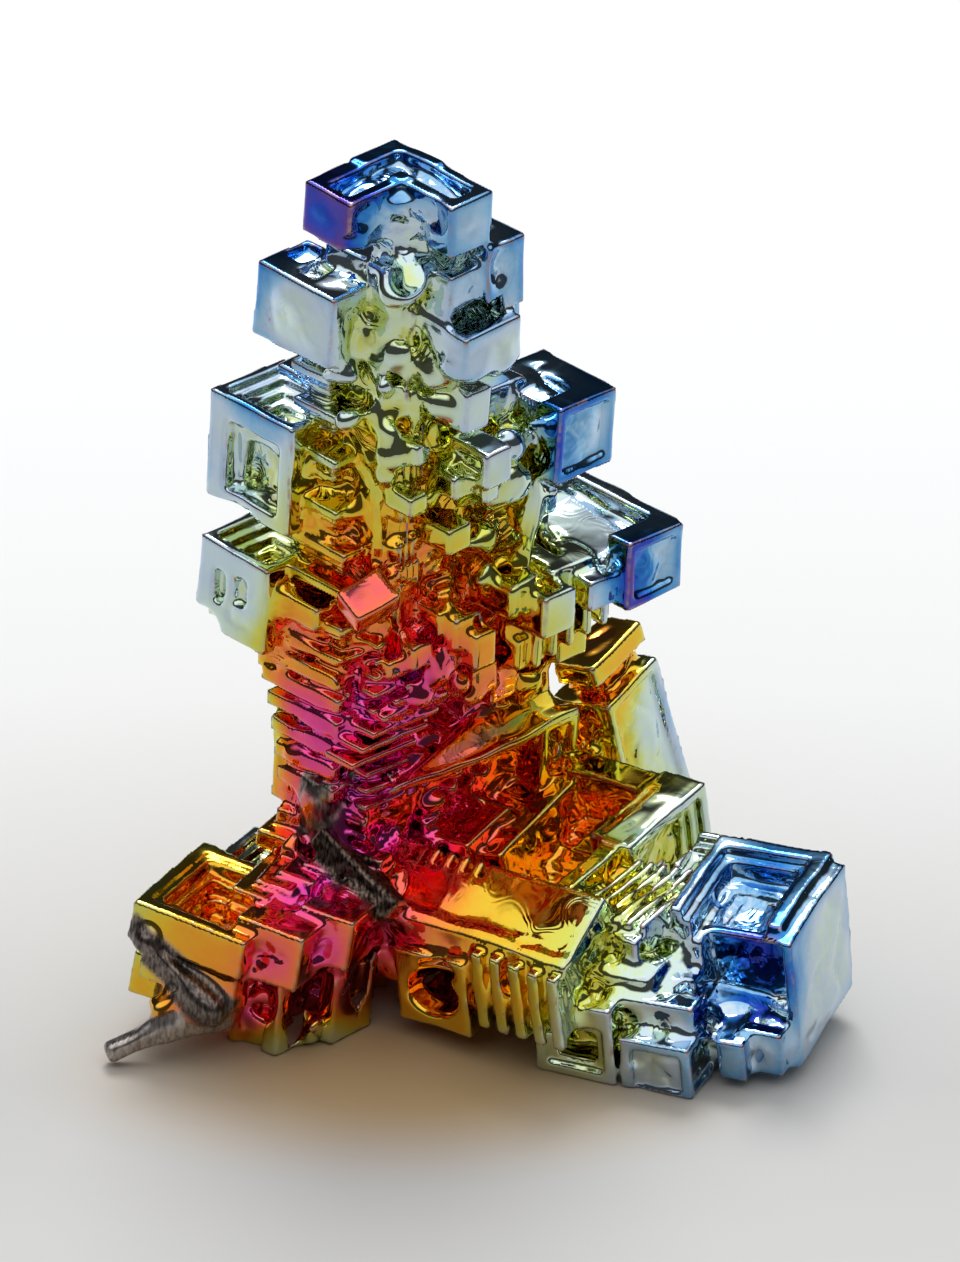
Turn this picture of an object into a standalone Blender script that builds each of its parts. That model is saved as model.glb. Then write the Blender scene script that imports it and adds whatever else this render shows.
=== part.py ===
"""A bismuth hopper crystal: a tree of stepped cubes on three low arms, grown as a single piece.

Everything is given in millimetres along the edges of a grain, and turned into metres when a box
is made. A grain is a stretch of the crystal whose cubes all stand the same way: its first axis,
a, runs to the right, b runs away to the back, and c runs up. All grains share one origin, the
point on the resting surface below the tree's trunk. A box is written as
(a low, a high, b low, b high, c low, c high).
"""
import math
import random

import bmesh
import bpy
from mathutils import Matrix, Vector

MM = 0.001
NAME = "bismuth_crystal"
SEED = 83
JITTER = 0.03           # moves each wall a little, so that no two cubes share a plane
TERRACE = 0.28          # width of a terrace in a hopper pit
NARROWEST = 0.3         # a pit's terraces stop before they are narrower than this
FLOOR_CUT = (-30.0, 30.0, -30.0, 30.0, -12.0, 0.0)

# How each grain stands: turn about the vertical, lean towards +X, nod towards +Y, in degrees.
GRAINS = {
    "upright": (0.0, 0.0, 0.0),
    "tree": (45.0, 3.0, 0.0),
    "right": (-35.0, -6.0, 4.0),
    "right_end": (-22.0, -4.0, 6.0),
    "left": (-27.0, 8.0, 0.0),
    "back": (-33.0, -14.0, 2.0),
    "stub": (10.3, -18.8, 0.0),
    "hook": (-24.5, 36.1, 0.0),
    "break": (-38.4, 34.5, 0.0),
    "blade": (37.8, 26.6, 27.0),
    "plate": (-30.4, -19.1, 24.6),
    "facet": (0.0, 0.0, 30.0),
}

# How a hopper pit is sunk: the rim left round it, its depth and its number of terraces. No terrace
# is deeper than the rim or than a terrace is wide, so the pits of two neighbouring faces never meet.
SLIGHT = (0.34, 0.27, 1)
MIDDLE = (0.36, 0.55, 2)
DEEP = (0.38, 0.83, 3)
WIDE = (0.28, 0.5, 2)

# The tree's trunk and the fins that carry its cubes.
TREE_CORE = [
    (-0.25, 0.9, -0.2, 0.9, 1.2, 26.4),
    (-0.5, 0.6, 0.0, 2.6, 5.0, 11.5),
    (-1.1, 0.6, 0.5, 3.1, 5.8, 10.9),
    (-0.4, 0.7, 0.0, 4.6, 10.5, 20.0),
    (-0.4, 0.6, 0.0, 2.8, 19.0, 25.0),
    (0.0, 6.4, -0.2, 0.7, 4.6, 9.6),
    (0.0, 7.0, -0.4, 0.6, 9.0, 14.6),
    (0.0, 5.4, -0.4, 0.6, 14.0, 19.6),
    (0.0, 2.6, -0.4, 0.6, 19.0, 26.4),
    (-0.6, 1.4, -0.6, 1.4, 1.2, 6.6),
]

# Cubes of the tree, each with the faces that are sunk.
TREE_CUBES = [
    # crown: two bars that meet at the back, and the saddle between them
    ((-2.0, 1.9, 0.25, 2.3, 26.1, 27.9), {"+b": SLIGHT}),
    ((0.1, 1.9, -2.0, 2.3, 26.1, 27.9), {}),
    ((-1.1, 0.7, -0.8, 0.4, 24.7, 25.5), {}),
    ((-0.45, 1.0, -0.4, 0.9, 25.2, 27.5), {}),
    # left side, from the top down
    ((-2.0, 0.2, 0.8, 4.1, 21.8, 24.3), {"+b": MIDDLE}),
    ((-2.0, 1.2, 2.2, 5.8, 15.5, 19.2), {"+c": DEEP, "+b": MIDDLE, "+a": DEEP}),
    ((-2.2, 1.0, 2.7, 5.7, 11.2, 14.2), {"+c": DEEP, "+b": MIDDLE, "+a": MIDDLE}),
    ((-1.7, 0.4, 1.0, 3.3, 12.6, 13.4), {"+c": SLIGHT}),
    ((-1.4, 0.6, 2.4, 3.7, 10.2, 11.3), {}),
    # right side, from the top down
    ((1.65, 3.3, -2.2, 1.0, 23.7, 26.0), {"+a": SLIGHT}),
    ((0.4, 2.0, -1.8, 0.4, 23.6, 25.3), {}),
    ((0.3, 2.8, -2.6, -0.4, 22.2, 23.6), {"+c": MIDDLE}),
    ((1.0, 2.1, -2.2, -0.8, 19.8, 21.2), {"-b": SLIGHT}),
    ((2.7, 3.7, -2.0, -0.6, 19.5, 21.0), {}),
    ((4.9, 7.5, -2.4, 0.9, 16.8, 19.4), {"-b": SLIGHT, "+a": DEEP}),
    ((1.7, 2.8, -2.6, -0.9, 17.8, 19.0), {"-a": SLIGHT}),
    ((1.95, 2.6, -2.3, -0.9, 17.1, 17.9), {}),
    ((7.4, 9.8, -3.4, 1.5, 12.0, 14.3), {"-b": SLIGHT, "+a": SLIGHT}),
    ((3.5, 9.2, -2.2, 1.4, 12.5, 13.5), {"+b": SLIGHT}),
    ((4.2, 5.6, -3.0, -1.2, 11.9, 13.3), {"-b": SLIGHT, "+c": SLIGHT}),
    ((6.2, 7.3, -3.0, -1.6, 12.2, 13.2), {"-b": SLIGHT}),
    ((2.1, 3.0, -2.2, -0.3, 11.2, 12.4), {"+c": SLIGHT}),
    # hidden from the front: cubes between the two fins, and on their far sides
    ((0.4, 2.9, 2.3, 4.6, 20.6, 23.0), {"+b": MIDDLE, "+a": MIDDLE, "+c": MIDDLE}),
    ((3.0, 5.6, 0.2, 3.0, 20.2, 22.2), {"+b": MIDDLE, "+a": MIDDLE, "+c": MIDDLE}),
    ((0.3, 3.2, 1.8, 4.4, 8.2, 10.6), {"+b": MIDDLE, "+a": MIDDLE, "+c": MIDDLE}),
    ((4.4, 7.0, 0.3, 3.2, 8.0, 10.8), {"+b": DEEP, "+a": MIDDLE, "+c": MIDDLE}),
    ((1.0, 3.0, 1.0, 3.1, 14.8, 17.2), {"+b": MIDDLE, "+a": MIDDLE, "+c": MIDDLE}),
    ((1.6, 5.2, 1.2, 5.0, -0.4, 4.2), {"+b": DEEP, "+a": MIDDLE}),
]

# Small cubes in the tree's front, each by its nearest top corner and its edge: (a, b, c, edge).
TREE_SMALL = [
    (-0.1, -1.3, 19.3, 0.7),
    (0.9, -2.0, 18.2, 0.9),
    (-0.4, -1.4, 17.8, 0.8),
    (3.5, -1.7, 17.2, 0.9),
    (0.7, -2.0, 16.5, 1.0),
    (5.1, -1.6, 16.0, 1.0),
    (3.6, -2.3, 13.7, 1.1),
    (1.6, -1.8, 12.9, 1.2),
    (0.2, -1.3, 12.2, 0.9),
    (-0.5, -0.9, 11.8, 0.7),
    (1.2, -1.2, 11.5, 0.9),
    (4.6, -1.7, 11.2, 1.2),
    (6.4, -1.6, 10.7, 1.2),
    (3.2, -1.2, 10.6, 0.9),
    (4.1, -1.1, 9.7, 1.0),
    (5.3, -1.2, 9.5, 1.2),
]

# Chevrons down the tree's front edge: (right end a, near b, left end b, top c).
CHEVRONS = [
    (0.1, 1.55, 3.0, 22.2),
    (0.45, 1.35, 3.0, 21.1),
    (0.15, 1.05, 2.9, 19.9),
    (0.7, 0.95, 2.8, 18.4),
    (0.5, 0.8, 3.9, 16.7),
    (0.35, 0.4, 2.7, 15.4),
    (0.2, 0.3, 2.7, 14.2),
    (0.2, 0.25, 2.9, 12.9),
    (0.2, 0.2, 2.9, 11.8),
]

# Pits of the tree that don't follow one cube's face: (face, box, terraces).
TREE_PITS = [
    ("+c", (-1.7, 1.5, 0.7, 1.75, 27.35, 28.4), 2),
    ("+c", (0.55, 1.5, -1.6, 1.75, 27.3, 28.4), 2),
    ("+c", (7.1, 9.3, -2.5, 1.0, 13.5, 14.7), 1),
    ("+c", (5.2, 5.55, -1.7, 0.5, 13.15, 13.9), 1),
    ("+c", (6.3, 6.65, -1.5, 0.5, 13.15, 13.9), 1),
    ("+c", (5.0, 6.3, -1.5, -0.4, 19.1, 19.8), 1),
    ("+c", (-1.0, -0.1, 3.2, 3.8, 23.95, 24.7), 1),
    ("+c", (-1.5, -0.6, 2.1, 2.8, 23.95, 24.7), 1),
    ("-a", (-2.3, -1.55, 2.75, 5.0, 16.0, 18.4), 1),
    ("-a", (-1.7, -1.1, 3.0, 4.6, 16.1, 17.9), 1),
    ("-a", (-2.5, -1.9, 4.6, 4.95, 12.2, 13.3), 1),
    ("-a", (-2.5, -1.9, 3.6, 4.1, 12.5, 13.4), 1),
]

# The blade that rises to the right above the deep red recess, and the cup at its end.
BLADE = (-0.2, 7.7, 3.35, 4.95, 6.4, 7.05)
BLADE_CUP = ((6.2, 7.8, -1.3, 1.3, 5.2, 7.5), {"-b": MIDDLE, "+a": SLIGHT})
BLADE_ROOT = (0.4, 5.4, 0.1, 1.3, 4.0, 7.2)

# A flat face in the middle of the tree's front that looks up and forwards.
FACET = (-0.3, 1.4, 5.2, 6.6, 12.6, 13.7)

# The right arm, nearer the trunk: cubes in the grain "right".
RIGHT_CUBES = [
    ((-1.0, 9.2, -1.3, 2.2, 1.6, 4.2), {"-c": DEEP}),
    ((2.9, 5.6, -1.8, 1.0, 0.7, 3.4), {"-b": MIDDLE}),
    # the deep hopper: its right wall, its back wall and its floor
    ((6.7, 7.35, 0.7, 8.3, 1.2, 4.6), {}),
    ((6.2, 7.75, 4.4, 8.5, 0.9, 4.7), {"+a": MIDDLE, "+b": SLIGHT}),
    ((2.7, 7.7, 7.3, 8.45, 1.2, 4.6), {"+b": MIDDLE}),
    ((2.2, 3.2, 4.4, 8.2, 1.2, 3.7), {}),
    ((1.4, 6.9, 1.8, 8.0, 0.9, 1.9), {}),
    ((4.6, 6.9, 5.4, 7.6, 2.0, 3.2), {}),
    # the plates in front of it, and the mass that joins them to the end block
    ((0.7, 2.9, 2.5, 4.9, 2.0, 4.5), {"+c": SLIGHT}),
    ((7.0, 10.2, 1.0, 5.4, 1.2, 3.9), {"+b": MIDDLE, "-c": MIDDLE}),
]

# The broad sloping face in front of the deep hopper.
PLATE = (1.3, 9.2, 0.75, 3.2, 3.1, 4.32)

# The far end of the right arm: cubes in the grain "right_end".
RIGHT_END_CUBES = [
    ((8.2, 12.1, -2.0, 0.4, 1.0, 2.9), {}),
    ((8.4, 10.6, -1.6, 1.4, 2.4, 3.4), {}),
    ((8.2, 12.1, 0.2, 2.4, 1.0, 3.7), {}),
    ((7.1, 9.7, -2.8, -0.8, 0.1, 2.9), {"-b": MIDDLE}),
    ((9.9, 12.2, -2.75, -0.6, -0.2, 1.9), {"-b": SLIGHT, "+a": SLIGHT}),
    ((11.0, 13.5, -1.6, 1.2, 0.2, 1.6), {}),
    ((13.2, 14.5, -1.0, 1.2, 0.2, 1.7), {}),
    ((10.6, 14.3, 0.2, 4.4, 0.0, 4.95), {"+b": DEEP, "-c": DEEP}),
    ((13.8, 14.8, -0.3, 4.2, 0.3, 3.5), {"+a": SLIGHT}),
    ((13.8, 14.55, 0.3, 4.3, 2.8, 4.4), {}),
    ((8.8, 11.2, 2.6, 5.6, 0.8, 4.0), {"+b": MIDDLE, "+c": MIDDLE}),
]

# Pits of the end block: the blue recess in its front, and the wide hopper on top.
RIGHT_END_PITS = [
    ("-b", (11.6, 14.1, 0.0, 1.4, 1.75, 4.6), 1),
    ("+c", (11.0, 13.8, -0.5, 3.8, 3.9, 5.3), 2),
    ("+c", (11.5, 13.3, 1.4, 3.2, 3.3, 4.4), 2),
]

# The left arm: cubes in the grain "left".
LEFT_CUBES = [
    ((-5.1, -1.2, -6.6, -1.7, 2.7, 4.0), {"-a": SLIGHT}),
    ((-4.5, -1.2, -6.55, -1.9, 1.4, 3.0), {"-a": MIDDLE, "-c": DEEP}),
    ((-1.9, 0.4, -5.9, 0.4, 2.5, 4.4), {}),
    ((-0.4, 1.4, -4.6, 1.0, 3.0, 4.8), {}),
    ((-2.2, 1.2, -2.2, 2.0, 1.2, 5.0), {"-a": MIDDLE}),
    ((-2.0, -0.45, -4.9, -2.0, -0.8, 2.7), {"+a": MIDDLE, "-b": SLIGHT}),
    ((-0.7, 0.8, -3.1, 0.5, -0.8, 3.2), {"+a": MIDDLE, "-b": SLIGHT}),
    ((-3.4, -1.6, -5.7, -3.4, 0.3, 2.0), {}),
    ((-5.2, -4.2, -5.6, -4.2, 0.3, 1.8), {"-a": SLIGHT}),
    ((-4.6, -1.4, -2.2, 0.8, 1.0, 3.6), {"-a": MIDDLE, "+c": MIDDLE, "+b": MIDDLE}),
    ((-3.6, -1.0, 0.4, 2.8, -0.8, 4.6), {"-a": MIDDLE, "+c": MIDDLE, "+b": MIDDLE}),
    ((-3.0, -1.0, 1.4, 3.2, 4.2, 6.6), {"-a": SLIGHT, "+c": SLIGHT}),
]

LEFT_PITS = [
    ("+c", (-4.7, -1.9, -6.1, -2.3, 2.5, 4.4), 4),
]

# The back arm: cubes in the grain "back".
BACK_CUBES = [
    ((0.6, 4.4, 3.0, 10.4, 0.0, 3.4), {"+b": MIDDLE, "-a": MIDDLE}),
    ((2.8, 5.0, 9.0, 12.0, -0.8, 5.0), {"+b": MIDDLE, "-a": MIDDLE, "+a": SLIGHT}),
    ((2.0, 4.4, 8.4, 11.4, -3.6, 0.6), {"+b": MIDDLE, "-a": MIDDLE}),
    ((3.5, 5.0, 8.8, 11.7, 5.8, 6.5), {}),
    ((3.3, 4.5, 9.8, 11.6, 4.6, 6.1), {}),
]


def grain_matrix(grain):
    """The grain's axes in the object's own frame; lengths stay in millimetres."""
    turn, lean, nod = (math.radians(angle) for angle in GRAINS[grain])
    return Matrix.Rotation(nod, 4, "X") @ Matrix.Rotation(lean, 4, "Y") @ Matrix.Rotation(turn, 4, "Z")


def clear_scene():
    for obj in list(bpy.data.objects):
        bpy.data.objects.remove(obj)


def jittered(box, rng):
    return tuple(value + rng.uniform(-JITTER, JITTER) for value in box)


def box_object(name, grain, box, collection):
    """One box of a grain as a closed mesh in metres."""
    low = Vector(box[0::2])
    high = Vector(box[1::2])
    place = Matrix.Translation((low + high) / 2) @ Matrix.Diagonal(high - low).to_4x4()
    shape = bmesh.new()
    bmesh.ops.create_cube(shape, size=1.0, matrix=Matrix.Scale(MM, 4) @ grain_matrix(grain) @ place)
    mesh = bpy.data.meshes.new(name)
    shape.to_mesh(mesh)
    shape.free()
    obj = bpy.data.objects.new(name, mesh)
    obj.hide_render = True
    obj.display_type = "WIRE"
    collection.objects.link(obj)
    return obj


def pit_steps(box, face, terraces):
    """Nested boxes that sink a pit in steps; the box is the pit's mouth and its full depth."""
    axis = "abc".index(face[1])
    outward = face[0] == "+"
    depth = box[2 * axis + 1] - box[2 * axis]
    steps = []
    for step in range(terraces):
        inset = TERRACE * step
        shape = [value + (inset if side % 2 == 0 else -inset) for side, value in enumerate(box)]
        reach = depth * (step + 1) / terraces
        if outward:
            shape[2 * axis] = box[2 * axis + 1] - reach
            shape[2 * axis + 1] = box[2 * axis + 1]
        else:
            shape[2 * axis] = box[2 * axis]
            shape[2 * axis + 1] = box[2 * axis] + reach
        widths = [shape[2 * side + 1] - shape[2 * side] for side in range(3) if side != axis]
        if min(widths) > NARROWEST:
            steps.append(tuple(shape))
    return steps


def face_pit(box, face, form):
    """The steps of a pit that is sunk in one face of a cube, inside its rim."""
    rim, depth, terraces = form
    axis = "abc".index(face[1])
    mouth = [value + (rim if side % 2 == 0 else -rim) for side, value in enumerate(box)]
    if face[0] == "+":
        mouth[2 * axis] = box[2 * axis + 1] - depth
        mouth[2 * axis + 1] = box[2 * axis + 1]
    else:
        mouth[2 * axis] = box[2 * axis]
        mouth[2 * axis + 1] = box[2 * axis] + depth
    return pit_steps(mouth, face, terraces)


def open_out(box, face, reach=0.4):
    """The same box, drawn out past the face it opens in, so that it cuts the skin clean."""
    axis = "abc".index(face[1])
    drawn = list(box)
    if face[0] == "+":
        drawn[2 * axis + 1] += reach
    else:
        drawn[2 * axis] -= reach
    return tuple(drawn)


def row(box, shift, count, grow=(0.0,) * 6):
    """Copies of a box, each shifted and grown a step further than the last."""
    boxes = []
    for place in range(count):
        moved = [value + shift[side // 2] * place + grow[side] * place for side, value in enumerate(box)]
        boxes.append(tuple(moved))
    return boxes


def small_cube(a, b, top, edge):
    """A small cube by its nearest top corner; it reaches back into the fin behind it."""
    return (a, a + edge, b, b + 1.4 * edge, top - 0.9 * edge, top)


def ribs():
    """Bars and ledges that repeat along the fins and arms, as (grain, box)."""
    found = []
    # chevrons down the tree's front edge, with a ledge under each
    for right, near, left, top in CHEVRONS:
        found.append(("tree", (-1.35, right, near, left, top - 0.4, top)))
        found.append(("tree", (-1.05, right - 0.3, near + 0.3, left - 0.2, top - 0.9, top - 0.3)))
    # bars across the left fin below its cubes, shorter towards the bottom
    shorter = (0.03, 0.0, 0.0, -0.2, 0.0, 0.0)
    found += [("tree", box) for box in row((-1.5, 0.6, 0.2, 3.6, 10.7, 11.2), (0, 0, -0.8), 6, shorter)]
    found += [("tree", box) for box in row((-1.1, 0.5, 0.1, 3.3, 10.4, 10.6), (0, 0, -0.8), 5, shorter)]
    # close bars across the right fin, above the blade
    found += [("tree", box) for box in row((0.3, 3.9, -0.95, 0.3, 9.9, 10.12), (-0.12, 0, -0.4), 5)]
    # short bars that hang below the right-hand cubes
    found += [("tree", box) for box in row((5.0, 5.3, -2.0, -0.3, 10.2, 12.6), (0.7, 0, 0.15), 5)]
    # flutes on the right arm's front face
    found += [("right", box) for box in row((5.9, 6.3, -1.75, -0.8, 1.2, 3.9), (0.72, 0, 0.02), 5)]
    # ridges across the right arm's top
    found += [("right", box) for box in row((7.9, 8.2, 1.0, 4.6, 3.7, 4.3), (0.8, 0.2, -0.04), 3)]
    # flutes in the blue recess of the end block
    found += [("right_end", box) for box in row((12.3, 12.55, 0.75, 1.6, 1.6, 4.4), (0.6, 0, 0), 3)]
    # stepped plates between the left arm and the trunk
    found += [("left", box) for box in row((-2.7, -1.5, -4.7, -1.0, 4.0, 4.6), (0.5, 0.6, 0.18), 4)]
    found += [("left", box) for box in row((-3.4, -1.0, -1.6, 1.2, 4.4, 5.0), (0.3, 0.6, 0.55), 3)]
    return found


def broken_ends():
    """The cut stub at the lower left and the bars of the broken front arm, as (grain, box)."""
    return [
        ("stub", (-7.95, -4.2, -3.9, -3.2, 2.5, 3.15)),
        ("stub", (-6.2, -4.0, -3.8, -3.0, 2.6, 3.9)),
        ("hook", (-5.4, -2.1, -7.0, -6.3, -1.1, -0.5)),
        ("break", (-2.55, 0.7, -4.0, -3.2, 3.9, 4.7)),
        ("break", (-1.9, -0.3, -3.9, -2.7, 2.3, 3.1)),
        ("break", (-4.9, -3.3, -2.9, -0.9, 4.4, 6.2)),
    ]


def scatter(rng):
    """Small cubes that roughen the fins and arms, as (grain, box)."""
    zones = [
        ("tree", (0.8, 6.4, -0.9, -0.4, 9.6, 18.4), 12, 0.5, 1.1),
        ("tree", (-0.9, -0.4, 0.4, 3.4, 9.6, 16.4), 6, 0.4, 0.9),
        ("tree", (0.8, 5.0, -0.5, 0.2, 4.0, 6.6), 10, 0.5, 1.0),
        ("tree", (0.8, 6.0, 0.5, 0.9, 6.0, 19.0), 14, 0.6, 1.4),
        ("tree", (0.6, 0.9, 0.8, 4.2, 6.0, 19.0), 12, 0.6, 1.3),
        ("right", (3.0, 6.2, 2.4, 7.4, 2.2, 2.8), 9, 0.5, 1.1),
        ("right", (-0.6, 1.4, -1.4, 0.5, 1.6, 4.2), 7, 0.5, 1.1),
        ("left", (-2.0, 0.6, -2.4, 1.6, 4.6, 5.4), 7, 0.4, 1.0),
    ]
    found = []
    for grain, zone, count, smallest, largest in zones:
        for _ in range(count):
            box = []
            for side in range(3):
                centre = rng.uniform(zone[2 * side], zone[2 * side + 1])
                half = rng.uniform(smallest, largest) / 2
                box += [centre - half, centre + half]
            found.append((grain, tuple(box)))
    return found


def all_solids(rng):
    cubes = {
        "tree": TREE_CUBES + [BLADE_CUP],
        "right": RIGHT_CUBES,
        "right_end": RIGHT_END_CUBES,
        "left": LEFT_CUBES,
        "back": BACK_CUBES,
    }
    solids = [("tree", box) for box in TREE_CORE + [BLADE_ROOT]]
    solids += [("blade", BLADE), ("plate", PLATE), ("facet", FACET)]
    solids += [(grain, box) for grain, members in cubes.items() for box, _ in members]
    solids += [("tree", small_cube(*corner)) for corner in TREE_SMALL]
    solids += ribs() + broken_ends() + scatter(rng)
    pits = []
    for grain, members in cubes.items():
        for box, faces in members:
            for face, form in faces.items():
                pits += [(grain, open_out(step, face)) for step in face_pit(box, face, form)]
    free_pits = {"tree": TREE_PITS, "right_end": RIGHT_END_PITS, "left": LEFT_PITS}
    for grain, members in free_pits.items():
        for face, box, terraces in members:
            pits += [(grain, step) for step in pit_steps(box, face, terraces)]
    pits.append(("upright", FLOOR_CUT))
    return solids, pits


def boolean(obj, operation, collection):
    modifier = obj.modifiers.new(operation.title(), "BOOLEAN")
    modifier.operation = operation
    modifier.operand_type = "COLLECTION"
    modifier.collection = collection
    modifier.solver = "EXACT"


def metal():
    """Bismuth under its thin oxide: bright metal, tinted."""
    material = bpy.data.materials.new("bismuth")
    material.use_nodes = True
    shader = material.node_tree.nodes["Principled BSDF"]
    shader.inputs["Base Color"].default_value = (0.62, 0.42, 0.30, 1.0)
    shader.inputs["Metallic"].default_value = 1.0
    shader.inputs["Roughness"].default_value = 0.18
    return material


def drop_chips(mesh):
    """Remove what the pits have cut free, and keep the one body that holds together."""
    shape = bmesh.new()
    shape.from_mesh(mesh)
    unseen = set(shape.verts)
    bodies = []
    while unseen:
        body = {unseen.pop()}
        edge = set(body)
        while edge:
            linked = {link.other_vert(vertex) for vertex in edge for link in vertex.link_edges}
            edge = linked - body
            body |= edge
        unseen -= body
        bodies.append(body)
    bodies.sort(key=len)
    for body in bodies[:-1]:
        bmesh.ops.delete(shape, geom=list(body), context="VERTS")
    shape.to_mesh(mesh)
    shape.free()


def settle(obj):
    """Freeze the cut shape and move it so that the middle of its footprint is the origin."""
    graph = bpy.context.evaluated_depsgraph_get()
    mesh = bpy.data.meshes.new_from_object(obj.evaluated_get(graph))
    mesh.name = NAME
    drop_chips(mesh)
    obj.modifiers.clear()
    obj.data = mesh
    corners = [vertex.co for vertex in mesh.vertices]
    low = Vector([min(corner[axis] for corner in corners) for axis in range(3)])
    high = Vector([max(corner[axis] for corner in corners) for axis in range(3)])
    foot = Vector((-(low.x + high.x) / 2, -(low.y + high.y) / 2, -low.z))
    mesh.transform(Matrix.Translation(foot))
    return foot


def main():
    clear_scene()
    rng = random.Random(SEED)
    scene = bpy.context.scene
    grown = bpy.data.collections.new("grown")
    sunk = bpy.data.collections.new("sunk")
    scene.collection.children.link(grown)
    scene.collection.children.link(sunk)
    solids, pits = all_solids(rng)
    grain, box = solids[0]
    crystal = box_object(NAME, grain, jittered(box, rng), scene.collection)
    crystal.hide_render = False
    crystal.display_type = "TEXTURED"
    for number, (grain, box) in enumerate(solids[1:]):
        box_object(f"cube_{number}", grain, jittered(box, rng), grown)
    for number, (grain, box) in enumerate(pits):
        box_object(f"pit_{number}", grain, jittered(box, rng) if grain != "upright" else box, sunk)
    boolean(crystal, "UNION", grown)
    boolean(crystal, "DIFFERENCE", sunk)
    foot = settle(crystal)
    crystal.data.materials.append(metal())
    for helper in list(grown.objects) + list(sunk.objects):
        bpy.data.objects.remove(helper)
    return foot


TRUNK_FOOT = main()
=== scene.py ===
"""A bismuth hopper crystal on a pale floor: the fine surface, its oxide colours, light and camera.

The crystal is grown from boxes, as its solid is. Lengths are millimetres along a grain's edges:
a runs to the right, b to the back, c up, and a box is (a low, a high, b low, b high, c low, c high).
All grains share the point under the trunk. The boxes are melted together on a grid of distances,
so that inner corners are rounded as they are on the metal, and the surface is drawn from the grid.
"""
import math
import random

import bpy
import numpy as np
from mathutils import Matrix, Vector


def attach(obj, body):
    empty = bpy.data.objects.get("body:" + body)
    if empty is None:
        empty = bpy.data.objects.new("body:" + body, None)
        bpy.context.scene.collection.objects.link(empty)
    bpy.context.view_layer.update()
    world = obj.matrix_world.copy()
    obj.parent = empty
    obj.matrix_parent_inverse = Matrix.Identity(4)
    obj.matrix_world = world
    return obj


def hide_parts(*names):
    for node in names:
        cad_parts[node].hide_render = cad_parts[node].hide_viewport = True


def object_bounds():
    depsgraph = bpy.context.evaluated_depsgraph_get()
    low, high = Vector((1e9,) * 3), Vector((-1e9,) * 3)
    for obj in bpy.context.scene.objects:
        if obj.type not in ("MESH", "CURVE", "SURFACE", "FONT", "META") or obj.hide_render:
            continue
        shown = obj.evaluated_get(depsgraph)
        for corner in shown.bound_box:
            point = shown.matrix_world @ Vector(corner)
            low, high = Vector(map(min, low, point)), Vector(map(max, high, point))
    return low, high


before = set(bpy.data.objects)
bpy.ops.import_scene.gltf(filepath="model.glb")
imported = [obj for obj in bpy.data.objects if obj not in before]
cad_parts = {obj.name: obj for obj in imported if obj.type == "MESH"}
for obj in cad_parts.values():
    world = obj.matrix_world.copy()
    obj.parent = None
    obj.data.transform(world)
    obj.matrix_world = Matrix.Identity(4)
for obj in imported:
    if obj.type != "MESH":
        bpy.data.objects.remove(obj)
cad_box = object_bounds()

MM = 0.001
SEED = 83
TRUNK_FOOT = np.array((-3.686, -0.591, 0.0))    # mm, where the grains' shared origin lies
PITCH = 0.095                           # mm, the distance grid's spacing
MARGIN = 0.6                            # mm, how far round a box the grid is touched
CUT_MELT = 0.1                          # mm, reach of the fillet at a pit's mouth
CUT_BEND = 0.6                          # share of BEND by which a pit's walls wander
PIT_ROUND = 0.14                        # mm, radius of a pit's inner corners
TERRACE = 0.28                          # mm, width of the steps in a pit
NARROWEST = 0.2                         # mm, the narrowest floor that a step may have
BEND = 0.08                             # mm, how far the metal's faces wander
BALL_BEND = 2.5                         # how many times that for rounded lumps and hollows
LUMP_MELT = 0.5                         # mm, reach of the fillet round a lump
HOLLOW_MELT = 0.25                      # mm, the same for a hollow's lip
LUMPS = 0.34                            # mm, height of the lumps on sheltered metal
SHELTER_FROM = 0.36                     # share of metal close by where the lumps begin
SHELTER_SPAN = 0.2                      # and how much more of it there is where they are full
FAR = 9.0                               # mm, the distance that the empty grid starts from
BIG_BLOBS = (2.0, 11)                   # mm across, and first seed, of the noise that bends faces
SMALL_BLOBS = (0.8, 21)                 # the same for its finer part

# How a box joins the metal: reach of the fillet (mm), share of BEND, radius of its edges (mm).
JOINS = {
    "trunk": (0.3, 1.0, 0.02),
    "cube": (0.3, 0.9, 0.02),
    "scattered": (0.3, 2.0, 0.02),
    "small cube": (0.4, 2.0, 0.08),
    "plate": (0.3, 0.5, 0.02),
    "facet": (0.45, 1.5, 0.1),
    "blade": (0.15, 0.6, 0.02),
    "blade's edge": (0.1, 3.0, 0.02),
    "rib": (0.1, 1.2, 0.02),
    "broken": (0.3, 2.0, 0.18),
}

GRAINS = {
    "tree": (45.0, 3.0, 0.0),
    "right": (-35.0, -6.0, 4.0),
    "right_end": (-22.0, -4.0, 6.0),
    "left": (-27.0, 8.0, 0.0),
    "back": (-33.0, -14.0, 2.0),
    "stub": (10.3, -18.8, 0.0),
    "hook": (-24.5, 36.1, 0.0),
    "break": (-38.4, 34.5, 0.0),
    "blade": (32.9, -32.7, -42.8),
    "taper": (39.3, -43.7, -32.6),
    "plate": (-30.4, -19.1, 24.6),
    "facet": (35.0, 0.0, 30.0),
}

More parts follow.
